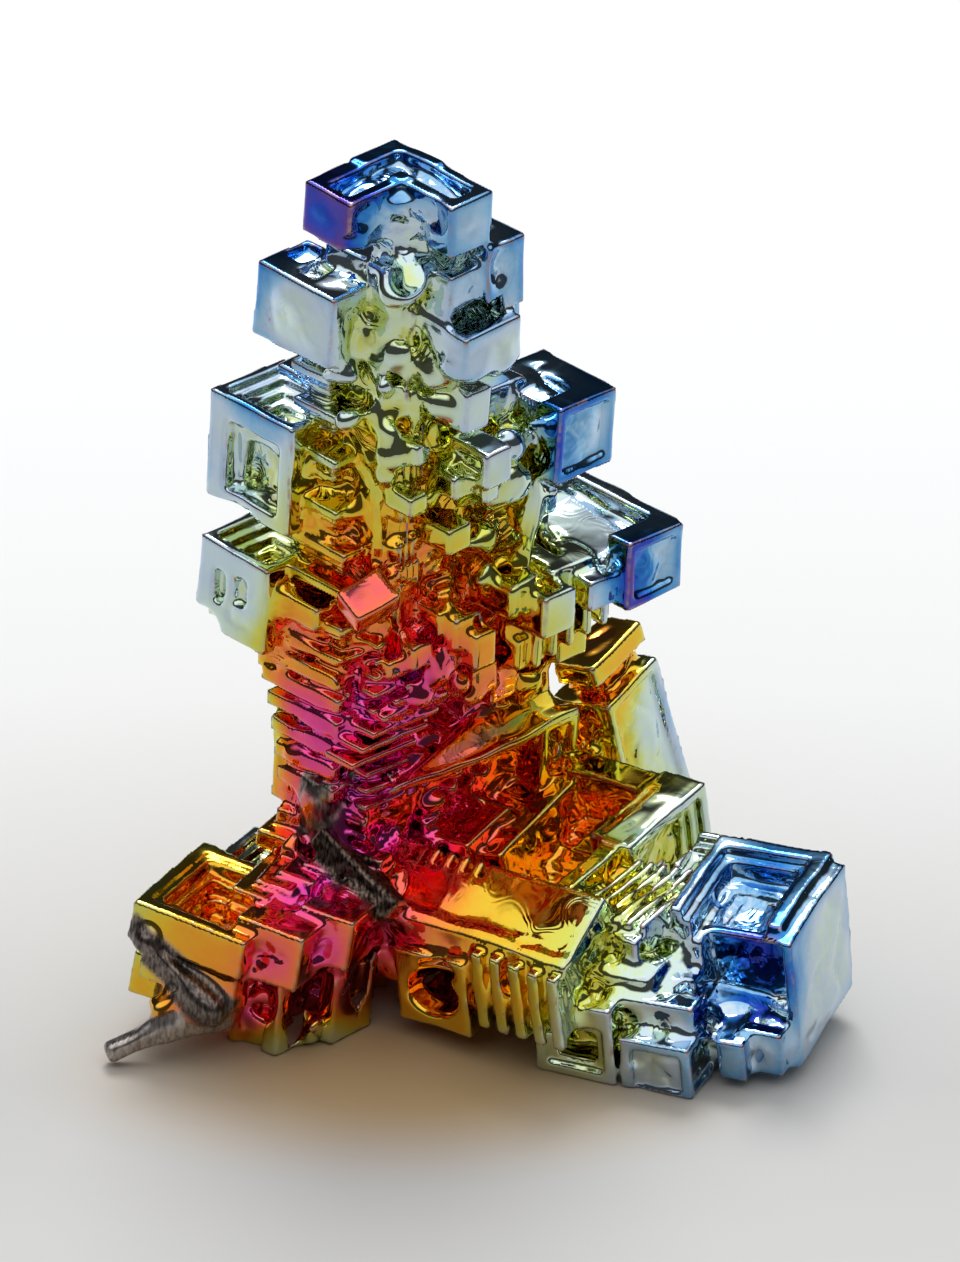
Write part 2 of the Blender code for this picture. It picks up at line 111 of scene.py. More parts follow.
# Broad faces that stay flat and smooth: (grain, box).
CALM = [
    ("plate", (1.6, 9.0, 0.9, 3.1, 3.9, 5.0)),
    ("blade", (0.00, 7.30, -7.46, -6.56, 3.52, 4.56)),
    ("left", (-5.2, -1.3, -7.0, -6.2, 1.6, 4.0)),
    ("right_end", (11.6, 14.45, -0.3, 1.0, 1.8, 4.6)),
    ("tree", (7.2, 9.2, -2.3, 0.9, 13.2, 14.2)),
    ("facet", (3.1, 4.35, 4.2, 5.2, 13.0, 14.0)),
]

# The skin's meshes: each takes what lies above or below a limit (mm) and in none before it.
REGIONS = [
    ("crystal_top", "z", "above", 18.4),
    ("crystal_middle", "z", "above", 10.4),
    ("crystal_left_arm", "x", "below", -2.9),
    ("crystal_right_arm", "x", "above", 2.9),
    ("crystal_foot", "x", "above", -30.0),
]

# How a pit is sunk: the rim left round it, its depth and its terraces.
SLIGHT = (0.34, 0.2, 1)
MIDDLE = (0.34, 0.7, 3)
DEEP = (0.36, 1.0, 4)

# The tree's trunk and the fins that carry its cubes.
TREE_CORE = [
    (-0.25, 0.9, -0.2, 0.9, 1.2, 26.4),
    (-0.5, 0.6, 0.0, 2.6, 5.0, 11.5),
    (-1.1, 0.6, 0.5, 3.1, 5.8, 10.9),
    (-0.4, 0.7, 0.0, 4.6, 10.5, 20.0),
    (-0.4, 0.6, 0.0, 2.8, 19.0, 25.0),
    (0.0, 6.4, -0.2, 0.7, 4.6, 9.6),
    (0.0, 7.0, -0.4, 0.6, 9.0, 14.6),
    (0.0, 5.4, -0.4, 0.6, 14.0, 19.6),
    (0.0, 2.6, -0.4, 0.6, 19.0, 26.4),
    (-0.6, 1.4, -0.6, 1.4, 1.2, 6.6),
]

# Cubes of the tree, each with the faces that are sunk.
TREE_CUBES = [
    # crown: two bars that meet at the back, and the saddle between them
    ((-2.0, 1.9, 0.25, 2.3, 26.1, 27.9), {"+b": SLIGHT}),
    ((0.1, 1.9, -2.0, 2.3, 26.1, 27.9), {}),
    ((-1.1, 0.7, -0.8, 0.4, 24.7, 25.5), {}),
    ((-0.45, 1.0, -0.4, 0.9, 25.2, 27.5), {}),
    # left side, from the top down
    ((-2.0, 0.2, 0.8, 4.1, 21.8, 24.3), {"+b": MIDDLE}),
    ((-2.0, 1.2, 2.2, 5.8, 15.5, 19.2), {"+c": DEEP, "+b": MIDDLE, "+a": DEEP}),
    ((-2.2, 1.0, 2.7, 5.7, 11.2, 14.2), {"+c": DEEP, "+b": MIDDLE, "+a": MIDDLE}),
    ((-1.7, 0.4, 1.0, 3.3, 12.6, 13.4), {"+c": SLIGHT}),
    ((-1.4, 0.6, 2.4, 3.7, 10.2, 11.3), {}),
    # right side, from the top down
    ((1.65, 3.3, -2.2, 1.0, 23.7, 26.0), {"+a": SLIGHT}),
    ((0.4, 2.0, -1.8, 0.4, 23.6, 25.3), {}),
    ((0.3, 2.8, -2.6, -0.4, 22.2, 23.6), {}),
    ((1.0, 2.1, -2.2, -0.8, 19.8, 21.2), {}),
    ((2.7, 3.7, -2.0, -0.6, 19.5, 21.0), {}),
    ((4.9, 7.5, -2.4, 0.9, 16.8, 19.4), {"-b": SLIGHT, "+a": DEEP}),
    ((1.7, 2.8, -2.6, -0.9, 17.8, 19.0), {"-a": SLIGHT}),
    ((1.95, 2.6, -2.3, -0.9, 17.1, 17.9), {}),
    ((7.4, 9.8, -3.4, 1.5, 12.0, 14.3), {"-b": SLIGHT, "+a": SLIGHT}),
    ((3.5, 9.2, -2.2, 1.4, 12.5, 13.5), {"+b": SLIGHT}),
    ((4.2, 5.6, -3.0, -1.2, 11.9, 13.3), {"+c": SLIGHT}),
    ((6.2, 7.3, -3.0, -1.6, 12.2, 13.2), {}),
    ((2.1, 3.0, -2.2, -0.3, 11.2, 12.4), {"+c": SLIGHT}),
    # hidden from the front: cubes between the two fins, and on their far sides
    ((0.4, 2.9, 2.3, 4.6, 20.6, 23.0), {"+b": MIDDLE, "+a": MIDDLE, "+c": MIDDLE}),
    ((3.0, 5.6, 0.2, 3.0, 20.2, 22.2), {"+b": MIDDLE, "+a": MIDDLE, "+c": MIDDLE}),
    ((0.3, 3.2, 1.8, 4.4, 8.2, 10.6), {"+b": MIDDLE, "+a": MIDDLE, "+c": MIDDLE}),
    ((4.4, 7.0, 0.3, 3.2, 8.0, 10.8), {"+b": DEEP, "+a": MIDDLE, "+c": MIDDLE}),
    ((1.0, 3.0, 1.0, 3.1, 14.8, 17.2), {"+b": MIDDLE, "+a": MIDDLE, "+c": MIDDLE}),
    ((1.6, 5.2, 1.2, 5.0, -0.4, 4.2), {"+b": DEEP, "+a": MIDDLE}),
    # the two cubes under the left arm that stand with a corner to the front
    ((-4.94, -3.4, -1.42, 0.4, -0.1, 2.6), {}),
    ((-3.25, -1.5, -2.12, -0.3, 0.05, 3.2), {}),
]

# Small cubes in the tree's front, each by its nearest top corner and its edge: (a, b, c, edge).
TREE_SMALL = [
    (-0.1, -1.3, 19.3, 0.7),
    (0.9, -2.0, 18.2, 0.9),
    (-0.4, -1.4, 17.8, 0.8),
    (3.5, -1.7, 17.2, 0.9),
    (0.7, -2.0, 16.5, 1.0),
    (5.1, -1.6, 16.0, 1.0),
    (3.6, -2.3, 13.7, 1.1),
    (1.6, -1.8, 12.9, 1.2),
    (0.2, -1.3, 12.2, 0.9),
    (-0.5, -0.9, 11.8, 0.7),
    (1.2, -1.2, 11.5, 0.9),
    (4.6, -1.7, 11.2, 1.2),
    (6.4, -1.6, 10.7, 1.2),
    (3.2, -1.2, 10.6, 0.9),
    (4.1, -1.1, 9.7, 1.0),
    (5.3, -1.2, 9.5, 1.2),
]

# Chevrons down the tree's front edge: (right end a, near b, left end b, top c).
CHEVRONS = [
    (0.1, 1.55, 3.0, 22.2),
    (0.45, 1.35, 3.0, 21.1),
    (0.15, 1.05, 2.9, 19.9),
    (0.7, 0.95, 2.8, 18.4),
    (0.5, 0.8, 3.9, 16.7),
    (0.35, 0.4, 2.7, 15.4),
    (0.2, 0.3, 2.7, 14.2),
    (0.2, 0.25, 2.9, 12.9),
    (0.2, 0.2, 2.9, 11.8),
]

# Pits of the tree that don't follow one cube's face: (face, box, terraces).
TREE_PITS = [
    ("+c", (5.2, 5.55, -1.7, 0.5, 13.15, 13.9), 1),
    ("+c", (6.3, 6.65, -1.5, 0.5, 13.15, 13.9), 1),
    ("-a", (-2.3, -1.55, 2.75, 5.0, 16.0, 18.4), 1),
    ("-a", (-1.7, -1.1, 3.0, 4.6, 16.1, 17.9), 1),
    ("-a", (-2.5, -1.9, 4.6, 4.95, 12.2, 13.3), 1),
    ("-a", (-2.5, -1.9, 3.6, 4.1, 12.5, 13.4), 1),
]

# Pits whose floor leans to the front: (grain, box, how far it leans in degrees).
LEANING_PITS = [
    ("tree", (-1.65, 1.4, 0.75, 1.65, 27.4, 28.6), 9.0),
    ("tree", (0.6, 1.45, -1.5, 1.6, 27.35, 28.6), 16.0),
    ("tree", (-1.05, -0.05, 3.15, 3.85, 23.95, 25.0), 16.0),
    ("tree", (-1.55, -0.55, 2.0, 2.85, 23.95, 25.0), 18.0),
    ("tree", (0.65, 2.45, -2.25, -0.7, 23.15, 24.2), 15.0),
    ("tree", (4.95, 6.3, -1.5, -0.4, 19.05, 20.0), 17.0),
    ("tree", (7.1, 9.25, -2.4, 1.0, 13.6, 15.0), 6.0),
    ("right_end", (11.6, 13.2, 1.2, 3.0, 3.5, 4.6), 5.0),
]

# The blade that rises to the right above the deep red recess, in the grain "blade"; what is cut from
# it in the grain "taper"; and in the tree's grain its front edge, its root and the cup at its end.
BLADE = (0.20, 7.10, -6.96, -6.36, 3.42, 4.46)
BLADE_EDGE = (-0.7, 7.3, -1.5, -1.0, 7.45, 7.74)
BLADE_TAPER = (0.03, 4.84, -7.56, -6.46, 3.42, 4.52)
BLADE_CUP = ((6.2, 7.8, -1.3, 1.3, 5.2, 7.5), {"-b": MIDDLE, "+a": SLIGHT})
BLADE_ROOT = (0.4, 5.4, 0.1, 1.3, 4.0, 7.2)

# A flat face in the middle of the tree's front that looks up and forwards.
FACET = (2.95, 4.5, 4.05, 5.35, 12.6, 13.45)

# The right arm, nearer the trunk: cubes in the grain "right".
RIGHT_CUBES = [
    ((-1.0, 9.2, -1.3, 2.2, 1.6, 4.2), {"-c": DEEP}),
    ((2.9, 5.6, -1.8, 1.0, 0.7, 3.4), {}),
    # the deep hopper: its right wall, its back wall and its floor
    ((6.7, 7.35, 0.7, 8.3, 1.2, 4.6), {}),
    ((6.2, 7.75, 4.4, 8.5, 0.9, 4.7), {"+a": MIDDLE, "+b": SLIGHT}),
    ((2.7, 7.7, 7.3, 8.45, 1.2, 4.6), {"+b": MIDDLE}),
    ((2.2, 3.2, 4.4, 8.2, 1.2, 3.7), {}),
    ((1.4, 6.9, 1.8, 8.0, 0.9, 1.9), {}),
    ((4.6, 6.9, 5.4, 7.6, 2.0, 3.2), {}),
    # the plates in front of it, and the mass that joins them to the end block
    ((0.7, 2.9, 2.5, 4.9, 2.0, 4.5), {"+c": SLIGHT}),
    ((7.0, 10.2, 1.0, 5.4, 1.2, 3.9), {"+b": MIDDLE, "-c": MIDDLE}),
]

# The broad sloping face in front of the deep hopper.
PLATE = (1.3, 9.2, 0.75, 3.2, 3.1, 4.32)
PLATE_SLOTS = ((3.0, 3.2, 0.7, 2.4, 4.1, 5.6), (0.55, 0, 0), 4)

# The far end of the right arm: cubes in the grain "right_end".
RIGHT_END_CUBES = [
    ((8.2, 12.1, -2.0, 0.4, 1.0, 2.9), {}),
    ((8.4, 10.6, -1.6, 1.4, 2.4, 3.4), {}),
    ((8.2, 12.1, 0.2, 2.4, 1.0, 3.7), {}),
    ((7.1, 9.7, -2.8, -0.8, 0.1, 2.9), {}),
    ((9.9, 12.2, -2.75, -0.6, -0.2, 1.9), {"-b": SLIGHT, "+a": SLIGHT}),
    ((11.0, 13.5, -1.6, 1.2, 0.2, 1.6), {}),
    ((13.2, 14.5, -1.0, 1.2, 0.2, 1.7), {}),
    ((10.6, 14.3, 0.2, 4.4, 0.0, 4.95), {"+b": DEEP, "-c": DEEP}),
    ((13.6, 14.78, -0.28, 4.22, 0.1, 4.7), {}),
    ((8.8, 11.2, 2.6, 5.6, 0.8, 4.0), {"+b": MIDDLE, "+c": MIDDLE}),
]

# Pits of the end block: the blue recess in its front, and the wide hopper on top.
RIGHT_END_PITS = [
    ("-b", (7.45, 9.35, -3.3, -1.9, 0.5, 2.1), 2),
    ("-b", (11.6, 14.45, -0.7, 0.8, 1.75, 4.6), 1),
    ("+c", (11.0, 13.8, -0.5, 3.8, 3.9, 5.3), 2),
    ("+c", (11.5, 13.3, 1.4, 3.2, 3.3, 4.4), 2),
]

# The left arm: cubes in the grain "left".
LEFT_CUBES = [
    ((-5.1, -1.2, -6.6, -1.7, 2.7, 4.0), {"-a": SLIGHT}),
    ((-4.6, -1.3, -6.42, -1.9, 1.4, 3.0), {"-a": MIDDLE, "-c": DEEP}),
    ((-1.9, 0.4, -5.9, 0.4, 2.5, 4.4), {}),
    ((-0.4, 1.4, -4.6, 1.0, 3.0, 4.8), {}),
    ((-2.2, 1.2, -2.2, 2.0, 1.2, 5.0), {"-a": MIDDLE}),
    ((-2.0, -0.45, -4.9, -2.0, -0.8, 2.7), {"+a": MIDDLE, "-b": SLIGHT}),
    ((-0.7, 0.8, -3.1, 0.5, -0.8, 3.2), {"+a": MIDDLE, "-b": SLIGHT}),
    ((-3.4, -1.6, -5.7, -3.4, 0.3, 2.0), {}),
    ((-5.2, -4.2, -5.6, -4.2, 0.3, 1.8), {"-a": SLIGHT}),
    ((-4.6, -1.4, -2.2, 0.8, 1.0, 3.6), {"-a": MIDDLE, "+c": MIDDLE, "+b": MIDDLE}),
    ((-3.6, -1.0, 0.4, 2.8, -0.8, 4.6), {"-a": MIDDLE, "+c": MIDDLE, "+b": MIDDLE}),
    ((-3.0, -1.0, 1.4, 3.2, 4.2, 6.6), {"-a": SLIGHT, "+c": SLIGHT}),
]

LEFT_PITS = [
    ("+c", (-4.7, -1.9, -6.1, -2.3, 2.5, 4.4), 4),
]

# The back arm: cubes in the grain "back".
BACK_CUBES = [
    ((0.6, 4.4, 3.0, 10.4, 0.0, 3.4), {"+b": MIDDLE, "-a": MIDDLE}),
    ((2.8, 5.0, 9.0, 12.0, -0.8, 5.0), {"+b": MIDDLE, "-a": MIDDLE, "+a": SLIGHT}),
    ((2.0, 4.4, 8.4, 11.4, -3.6, 0.6), {"+b": MIDDLE, "-a": MIDDLE}),
    ((3.5, 5.0, 8.8, 11.7, 5.8, 6.5), {}),
    ((3.3, 4.5, 9.8, 11.6, 4.6, 6.1), {}),
]


def grain_axes(grain):
    """The grain's axes as the columns of a rotation, in the object's own frame."""
    turn, lean, nod = (math.radians(angle) for angle in GRAINS[grain])
    turned = Matrix.Rotation(nod, 3, "X") @ Matrix.Rotation(lean, 3, "Y") @ Matrix.Rotation(turn, 3, "Z")
    return np.array(turned)


class Grid:
    """Signed distances in millimetres to the crystal's skin, negative inside."""

    def __init__(self, low, high):
        self.low = np.array(low, float)
        counts = [int(math.ceil((b - a) / PITCH)) + 1 for a, b in zip(low, high)]
        self.distance = np.full(counts, FAR, np.float32)
        self.calm = np.zeros(counts, np.float32)
        self.axes = [(a + PITCH * np.arange(n)).astype(np.float32) for a, n in zip(low, counts)]
        self.bend = []
        for axis in range(3):
            broad = self.noise(BIG_BLOBS[0], BIG_BLOBS[1] + axis)
            fine = self.noise(SMALL_BLOBS[0], SMALL_BLOBS[1] + axis)
            self.bend.append(BEND * broad + 0.4 * BEND * fine)

    def noise(self, spacing, seed):
        """A smooth random field of about -1 to 1, made of blobs a spacing (mm) across."""
        rng = np.random.default_rng(seed)
        weights = []
        for axis in self.axes:
            place = (axis - axis[0]) / spacing + 2.0
            knots = np.arange(int(place[-1]) + 4)
            gap = np.abs(place[:, None] - knots[None, :])
            near = 2.0 / 3.0 - gap ** 2 + gap ** 3 / 2.0
            far = (2.0 - gap) ** 3 / 6.0
            weights.append(np.where(gap < 1.0, near, np.where(gap < 2.0, far, 0.0)).astype(np.float32))
        field = rng.uniform(-1.0, 1.0, [w.shape[1] for w in weights]).astype(np.float32)
        for weight in weights:
            field = np.moveaxis(np.tensordot(weight, field, (1, 0)), 0, -1)
        return 2.0 * field

    def window(self, turn, box):
        """The part of the grid that a box can reach."""
        middle = np.array([(box[0] + box[1]) / 2, (box[2] + box[3]) / 2, (box[4] + box[5]) / 2])
        half = np.array([(box[1] - box[0]) / 2, (box[3] - box[2]) / 2, (box[5] - box[4]) / 2])
        centre = turn @ middle + TRUNK_FOOT
        reach = np.abs(turn) @ half + MARGIN
        found = []
        for axis in range(3):
            first = int(math.floor((centre[axis] - reach[axis] - self.low[axis]) / PITCH))
            last = int(math.ceil((centre[axis] + reach[axis] - self.low[axis]) / PITCH)) + 1
            found.append(slice(max(first, 0), max(last, 0)))
        return tuple(found), centre, half

    def box_distance(self, window, centre, half, turn, rounding, bend):
        """Signed distance to a box, over one part of the grid."""
        x = (self.axes[0][window[0]] - centre[0])[:, None, None] + bend * self.bend[0][window]
        y = (self.axes[1][window[1]] - centre[1])[None, :, None] + bend * self.bend[1][window]
        z = (self.axes[2][window[2]] - centre[2])[None, None, :] + bend * self.bend[2][window]
        outside = 0.0
        inside = None
        for axis in range(3):
            along = np.abs(x * turn[0, axis] + y * turn[1, axis] + z * turn[2, axis])
            along = (along - (half[axis] - rounding)).astype(np.float32)
            outside = outside + np.square(np.maximum(along, 0.0))
            inside = along if inside is None else np.maximum(inside, along)
        return np.sqrt(outside) + np.minimum(inside, 0.0) - rounding

    def soothe(self, grain, box):
        """Mark a box inside which the metal is calm."""
        turn = grain_axes(grain)
        window, centre, half = self.window(turn, box)
        inside = -self.box_distance(window, centre, half, turn, 0.02, 0.0)
        self.calm[window] = np.maximum(self.calm[window], np.clip(inside / 0.2, 0.0, 1.0))

    def join(self, window, new, melt):
        """Add a shape, with a fillet of that reach."""
        here = self.distance[window]
        near = np.maximum(melt - np.abs(here - new), 0.0)
        self.distance[window] = np.minimum(here, new) - near * near / (4.0 * melt)

    def carve(self, window, new, melt):
        """Take a shape away, with a rounded mouth of that reach."""
        here = self.distance[window]
        near = np.maximum(melt - np.abs(here + new), 0.0)
        self.distance[window] = np.maximum(here, -new) + near * near / (4.0 * melt)

    def add(self, grain, box, kind):
        """Add a box that joins the metal as its kind does in JOINS."""
        melt, bend, rounding = JOINS[kind]
        turn = grain_axes(grain)
        window, centre, half = self.window(turn, box)
        self.join(window, self.box_distance(window, centre, half, turn, rounding, bend), melt)

    def cut(self, grain, box, lean=0.0):
        """Take a box away, leaning to the front by that many degrees."""
        turn = grain_axes(grain)
        window, centre, half = self.window(turn, box)
        turn = np.array(Matrix.Rotation(math.radians(lean), 3, "X")) @ turn
        rounding = min(PIT_ROUND, 0.45 * min(half))
        self.carve(window, self.box_distance(window, centre, half, turn, rounding, CUT_BEND), CUT_MELT)

    def ball_distance(self, grain, centre, radii):
        """The part of the grid near an ellipsoid, and the distance to it."""
        turn = grain_axes(grain)
        box = [edge for c, r in zip(centre, radii) for edge in (c - r, c + r)]
        window, middle, _ = self.window(turn, box)
        place = []
        for axis in range(3):
            along = self.axes[axis][window[axis]] - middle[axis]
            along = along.reshape([-1 if side == axis else 1 for side in range(3)])
            place.append(along + BALL_BEND * self.bend[axis][window])
        near = 0.0
        far = 0.0
        for axis in range(3):
            along = sum(place[side] * turn[side, axis] for side in range(3))
            near = near + np.square(along / radii[axis])
            far = far + np.square(along / radii[axis] ** 2)
        near = np.sqrt(near)
        return window, (near * (near - 1.0) / np.maximum(np.sqrt(far), 1e-4)).astype(np.float32)

    def add_ball(self, grain, centre, radii):
        window, new = self.ball_distance(grain, centre, radii)
        self.join(window, new, LUMP_MELT)

    def cut_ball(self, grain, centre, radii):
        window, new = self.ball_distance(grain, centre, radii)
        self.carve(window, new, HOLLOW_MELT)


def pit_steps(box, face, terraces):
    """Nested boxes that sink a pit in steps; the box is the pit's mouth and its full depth."""
    axis = "abc".index(face[1])
    outward = face[0] == "+"
    depth = box[2 * axis + 1] - box[2 * axis]
    steps = []
    for step in range(terraces):
        inset = TERRACE * step
        shape = [value + (inset if side % 2 == 0 else -inset) for side, value in enumerate(box)]
        reach = depth * (step + 1) / terraces
        if outward:
            shape[2 * axis] = box[2 * axis + 1] - reach
            shape[2 * axis + 1] = box[2 * axis + 1]
        else:
            shape[2 * axis] = box[2 * axis]
            shape[2 * axis + 1] = box[2 * axis] + reach
        widths = [shape[2 * side + 1] - shape[2 * side] for side in range(3) if side != axis]
        if min(widths) > NARROWEST:
            steps.append(tuple(shape))
    return steps


def face_pit(box, face, form):
    """The steps of a pit that is sunk in one face of a cube, inside its rim."""
    rim, depth, terraces = form
    axis = "abc".index(face[1])
    mouth = [value + (rim if side % 2 == 0 else -rim) for side, value in enumerate(box)]
    if face[0] == "+":
        mouth[2 * axis] = box[2 * axis + 1] - depth
        mouth[2 * axis + 1] = box[2 * axis + 1]
    else:
        mouth[2 * axis] = box[2 * axis]
        mouth[2 * axis + 1] = box[2 * axis] + depth
    return pit_steps(mouth, face, terraces)


def open_out(box, face, reach=0.4):
    """The same box, drawn out past the face it opens in, so that it cuts the skin clean."""
    axis = "abc".index(face[1])
    drawn = list(box)
    if face[0] == "+":
        drawn[2 * axis + 1] += reach
    else:
        drawn[2 * axis] -= reach
    return tuple(drawn)


def row(box, shift, count, grow=(0.0,) * 6):
    """Copies of a box, each shifted and grown a step further than the last."""
    boxes = []
    for place in range(count):
        moved = [value + shift[side // 2] * place + grow[side] * place for side, value in enumerate(box)]
        boxes.append(tuple(moved))
    return boxes


def small_cube(a, b, top, edge):
    """A small cube by its nearest top corner; it reaches back into the fin behind it."""
    return (a, a + edge, b, b + 1.4 * edge, top - 0.9 * edge, top)


# Rows of bars: (grain, first box, step to the next one, how many).
RIB_ROWS = [
    # strands that hang down the valley between the two fins
    ("tree", (0.0, 0.14, -0.66, -0.3, 14.5, 24.2), (0.27, 0, -0.15), 4),
    # close bars across the right fin, above the blade
    ("tree", (0.3, 3.1, -0.95, 0.3, 10.6, 10.85), (-0.42, 0, -0.42), 6),
    # short bars that hang below the right-hand cubes
    ("tree", (5.0, 5.3, -2.0, -0.3, 10.2, 12.6), (0.7, 0, 0.15), 5),
    # flutes on the right arm's front face, and ridges across its top
    ("right", (5.9, 6.3, -1.75, -0.8, 1.2, 3.9), (0.72, 0, 0.02), 5),
    ("right", (7.9, 8.12, 1.0, 4.6, 3.7, 4.3), (0.42, 0.1, -0.02), 6),
    # flutes in the blue recess of the end block
    ("right_end", (12.1, 12.4, 0.5, 1.2, 1.6, 4.4), (0.62, 0, 0), 4),
    # stepped plates between the left arm and the trunk
    ("left", (-2.7, -1.5, -4.7, -1.0, 4.0, 4.6), (0.5, 0.6, 0.18), 4),
    ("left", (-3.4, -1.0, -1.6, 1.2, 4.4, 5.0), (0.3, 0.6, 0.55), 3),
]


def ribs():
    """Bars and ledges that repeat along the fins and arms, as (grain, box)."""
    found = []
    # chevrons down the tree's front edge, each a few thin layers that step back
    for right, near, left, top in CHEVRONS:
        found.append(("tree", (-1.35, right, near, left, top - 0.34, top)))
        for layer in range(3):
            back = 0.14 * (layer + 1)
            low = top - 0.34 - 0.24 * (layer + 1)
            found.append(("tree", (-1.35 + back, right - back, near + back, left, low, low + 0.2)))
    # bars across the left fin below its cubes, shorter towards the bottom
    shorter = (0.03, 0.0, 0.0, -0.2, 0.0, 0.0)
    found += [("tree", box) for box in row((-1.5, 0.6, 0.2, 3.6, 10.7, 11.2), (0, 0, -0.8), 6, shorter)]
    found += [("tree", box) for box in row((-1.1, 0.5, 0.1, 3.3, 10.4, 10.6), (0, 0, -0.8), 5, shorter)]
    # thin layers down the lower trunk, with their corners to the front
    for layer in range(14):
        top = 12.4 - 0.56 * layer
        reach = 1.3 + 0.5 * math.sin(2.3 * layer)
        found.append(("tree", (-0.72, reach, -0.62, 1.6, top - 0.2, top)))
    for grain, *bars in RIB_ROWS:
        found += [(grain, box) for box in row(*bars)]
    return found


def broken_ends():
    """The cut stub at the lower left and the bars of the broken front arm, as (grain, box)."""
    return [
        ("stub", (-7.95, -4.2, -3.9, -3.2, 2.6, 3.2)),
        ("stub", (-6.2, -4.0, -3.8, -3.0, 2.6, 3.9)),
        ("hook", (-5.4, -2.1, -6.95, -6.3, -1.02, -0.7)),
        ("break", (-2.55, 0.7, -4.0, -3.2, 3.9, 4.7)),
        ("break", (-1.9, -0.3, -3.9, -2.7, 2.3, 3.1)),
        ("break", (-4.9, -3.3, -2.9, -0.9, 4.4, 6.2)),
    ]


# Rounded lumps that the melt left standing, and rounded hollows, in each grain: (centre, radii).
BULGES = {
    "stub": [
        ((-5.3, -3.6, 3.1), (1.5, 0.42, 0.5)), ((-4.5, -3.6, 3.3), (1.0, 0.42, 0.95)),
    ],
    "hook": [
        ((-5.25, -6.75, -0.8), (0.4, 0.35, 0.35)), ((-2.6, -6.7, -1.0), (0.8, 0.4, 0.5)),
    ],
    "tree": [
        ((-0.95, 1.0, 6.3), (0.6, 0.6, 0.9)), ((-0.9, 0.6, 5.4), (0.55, 0.6, 0.6)),
        ((-0.75, -0.75, 25.0), (0.85, 0.7, 0.6)), ((0.9, -2.0, 22.3), (0.75, 0.65, 0.6)),
        ((2.1, -2.1, 22.1), (0.65, 0.55, 0.55)), ((0.55, -1.2, 21.5), (0.5, 0.5, 0.5)),
        ((0.9, -1.2, 20.4), (0.45, 0.5, 0.5)), ((3.65, -1.4, 18.1), (0.6, 0.5, 0.6)),
        ((3.9, -1.3, 16.9), (0.5, 0.5, 0.5)), ((2.4, -1.2, 16.9), (0.6, 0.5, 0.5)),
        ((2.9, -0.9, 14.9), (1.0, 0.6, 0.5)), ((4.9, -1.4, 15.1), (0.4, 0.45, 1.5)),
    ],
}
HOLLOWS = {
    "right": [
        ((4.2, -2.1, 1.9), (1.0, 1.3, 0.85)), ((4.5, -1.9, 2.9), (0.7, 0.9, 0.4)),
    ],
    "tree": [
        ((-0.2, -1.3, 27.3), (0.5, 0.55, 0.6)), ((-1.35, 0.0, 27.3), (0.42, 0.5, 0.5)),
        ((-2.0, 0.1, 26.5), (0.55, 0.5, 0.4)), ((-0.5, -0.5, 26.6), (0.6, 0.6, 1.0)),
        ((2.2, -2.5, 25.1), (0.55, 0.5, 0.75)), ((-2.6, 3.0, 22.9), (0.7, 1.3, 0.6)),
        ((-0.75, -1.25, 25.6), (0.72, 0.7, 0.62)), ((2.3, -1.3, 14.3), (0.9, 0.7, 0.7)),
        ((-2.4, 5.4, 11.2), (0.7, 0.9, 0.6)), ((-2.6, 4.6, 15.5), (0.7, 1.2, 0.5)),
        ((6.3, -2.9, 17.6), (0.7, 0.6, 0.6)), ((-5.1, -0.6, 1.5), (0.4, 0.5, 0.75)),
        ((-4.2, -1.6, 1.5), (0.5, 0.35, 0.8)), ((-3.4, -1.3, 2.0), (0.35, 0.5, 0.9)),
        ((-2.4, -2.3, 1.8), (0.5, 0.3, 0.8)),
    ],
}


def rounded(rng):
    """Small lumps and hollows at random over the sheltered fronts of the fins and arms."""
    zones = [
        ("tree", (0.2, 6.2, -1.3, -0.9, 8.6, 19.5), 46),
        ("tree", (-0.7, 0.2, -0.5, 0.3, 11.0, 22.0), 22),
        ("tree", (-1.4, -0.6, 0.2, 3.0, 6.5, 22.0), 24),
        ("tree", (0.5, 5.6, -0.6, 0.2, 4.5, 7.0), 24),
        ("right", (2.6, 6.6, 2.4, 7.2, 1.9, 2.6), 20),
        ("right", (-0.6, 1.6, -1.4, 0.6, 2.4, 4.4), 14),
        ("right_end", (8.6, 12.0, -1.8, 0.4, 2.6, 3.6), 16),
        ("left", (-2.2, 1.0, -3.6, 1.2, 4.0, 5.2), 20),
        ("left", (-1.8, 0.8, -4.9, -3.0, 0.2, 2.4), 12),
    ]
    found = []
    for grain, zone, count in zones:
        for number in range(count):
            centre = tuple(rng.uniform(zone[2 * side], zone[2 * side + 1]) for side in range(3))
            radii = tuple(rng.uniform(0.16, 0.42) for _ in range(3))
            found.append((number % 2, grain, centre, radii))
    return found


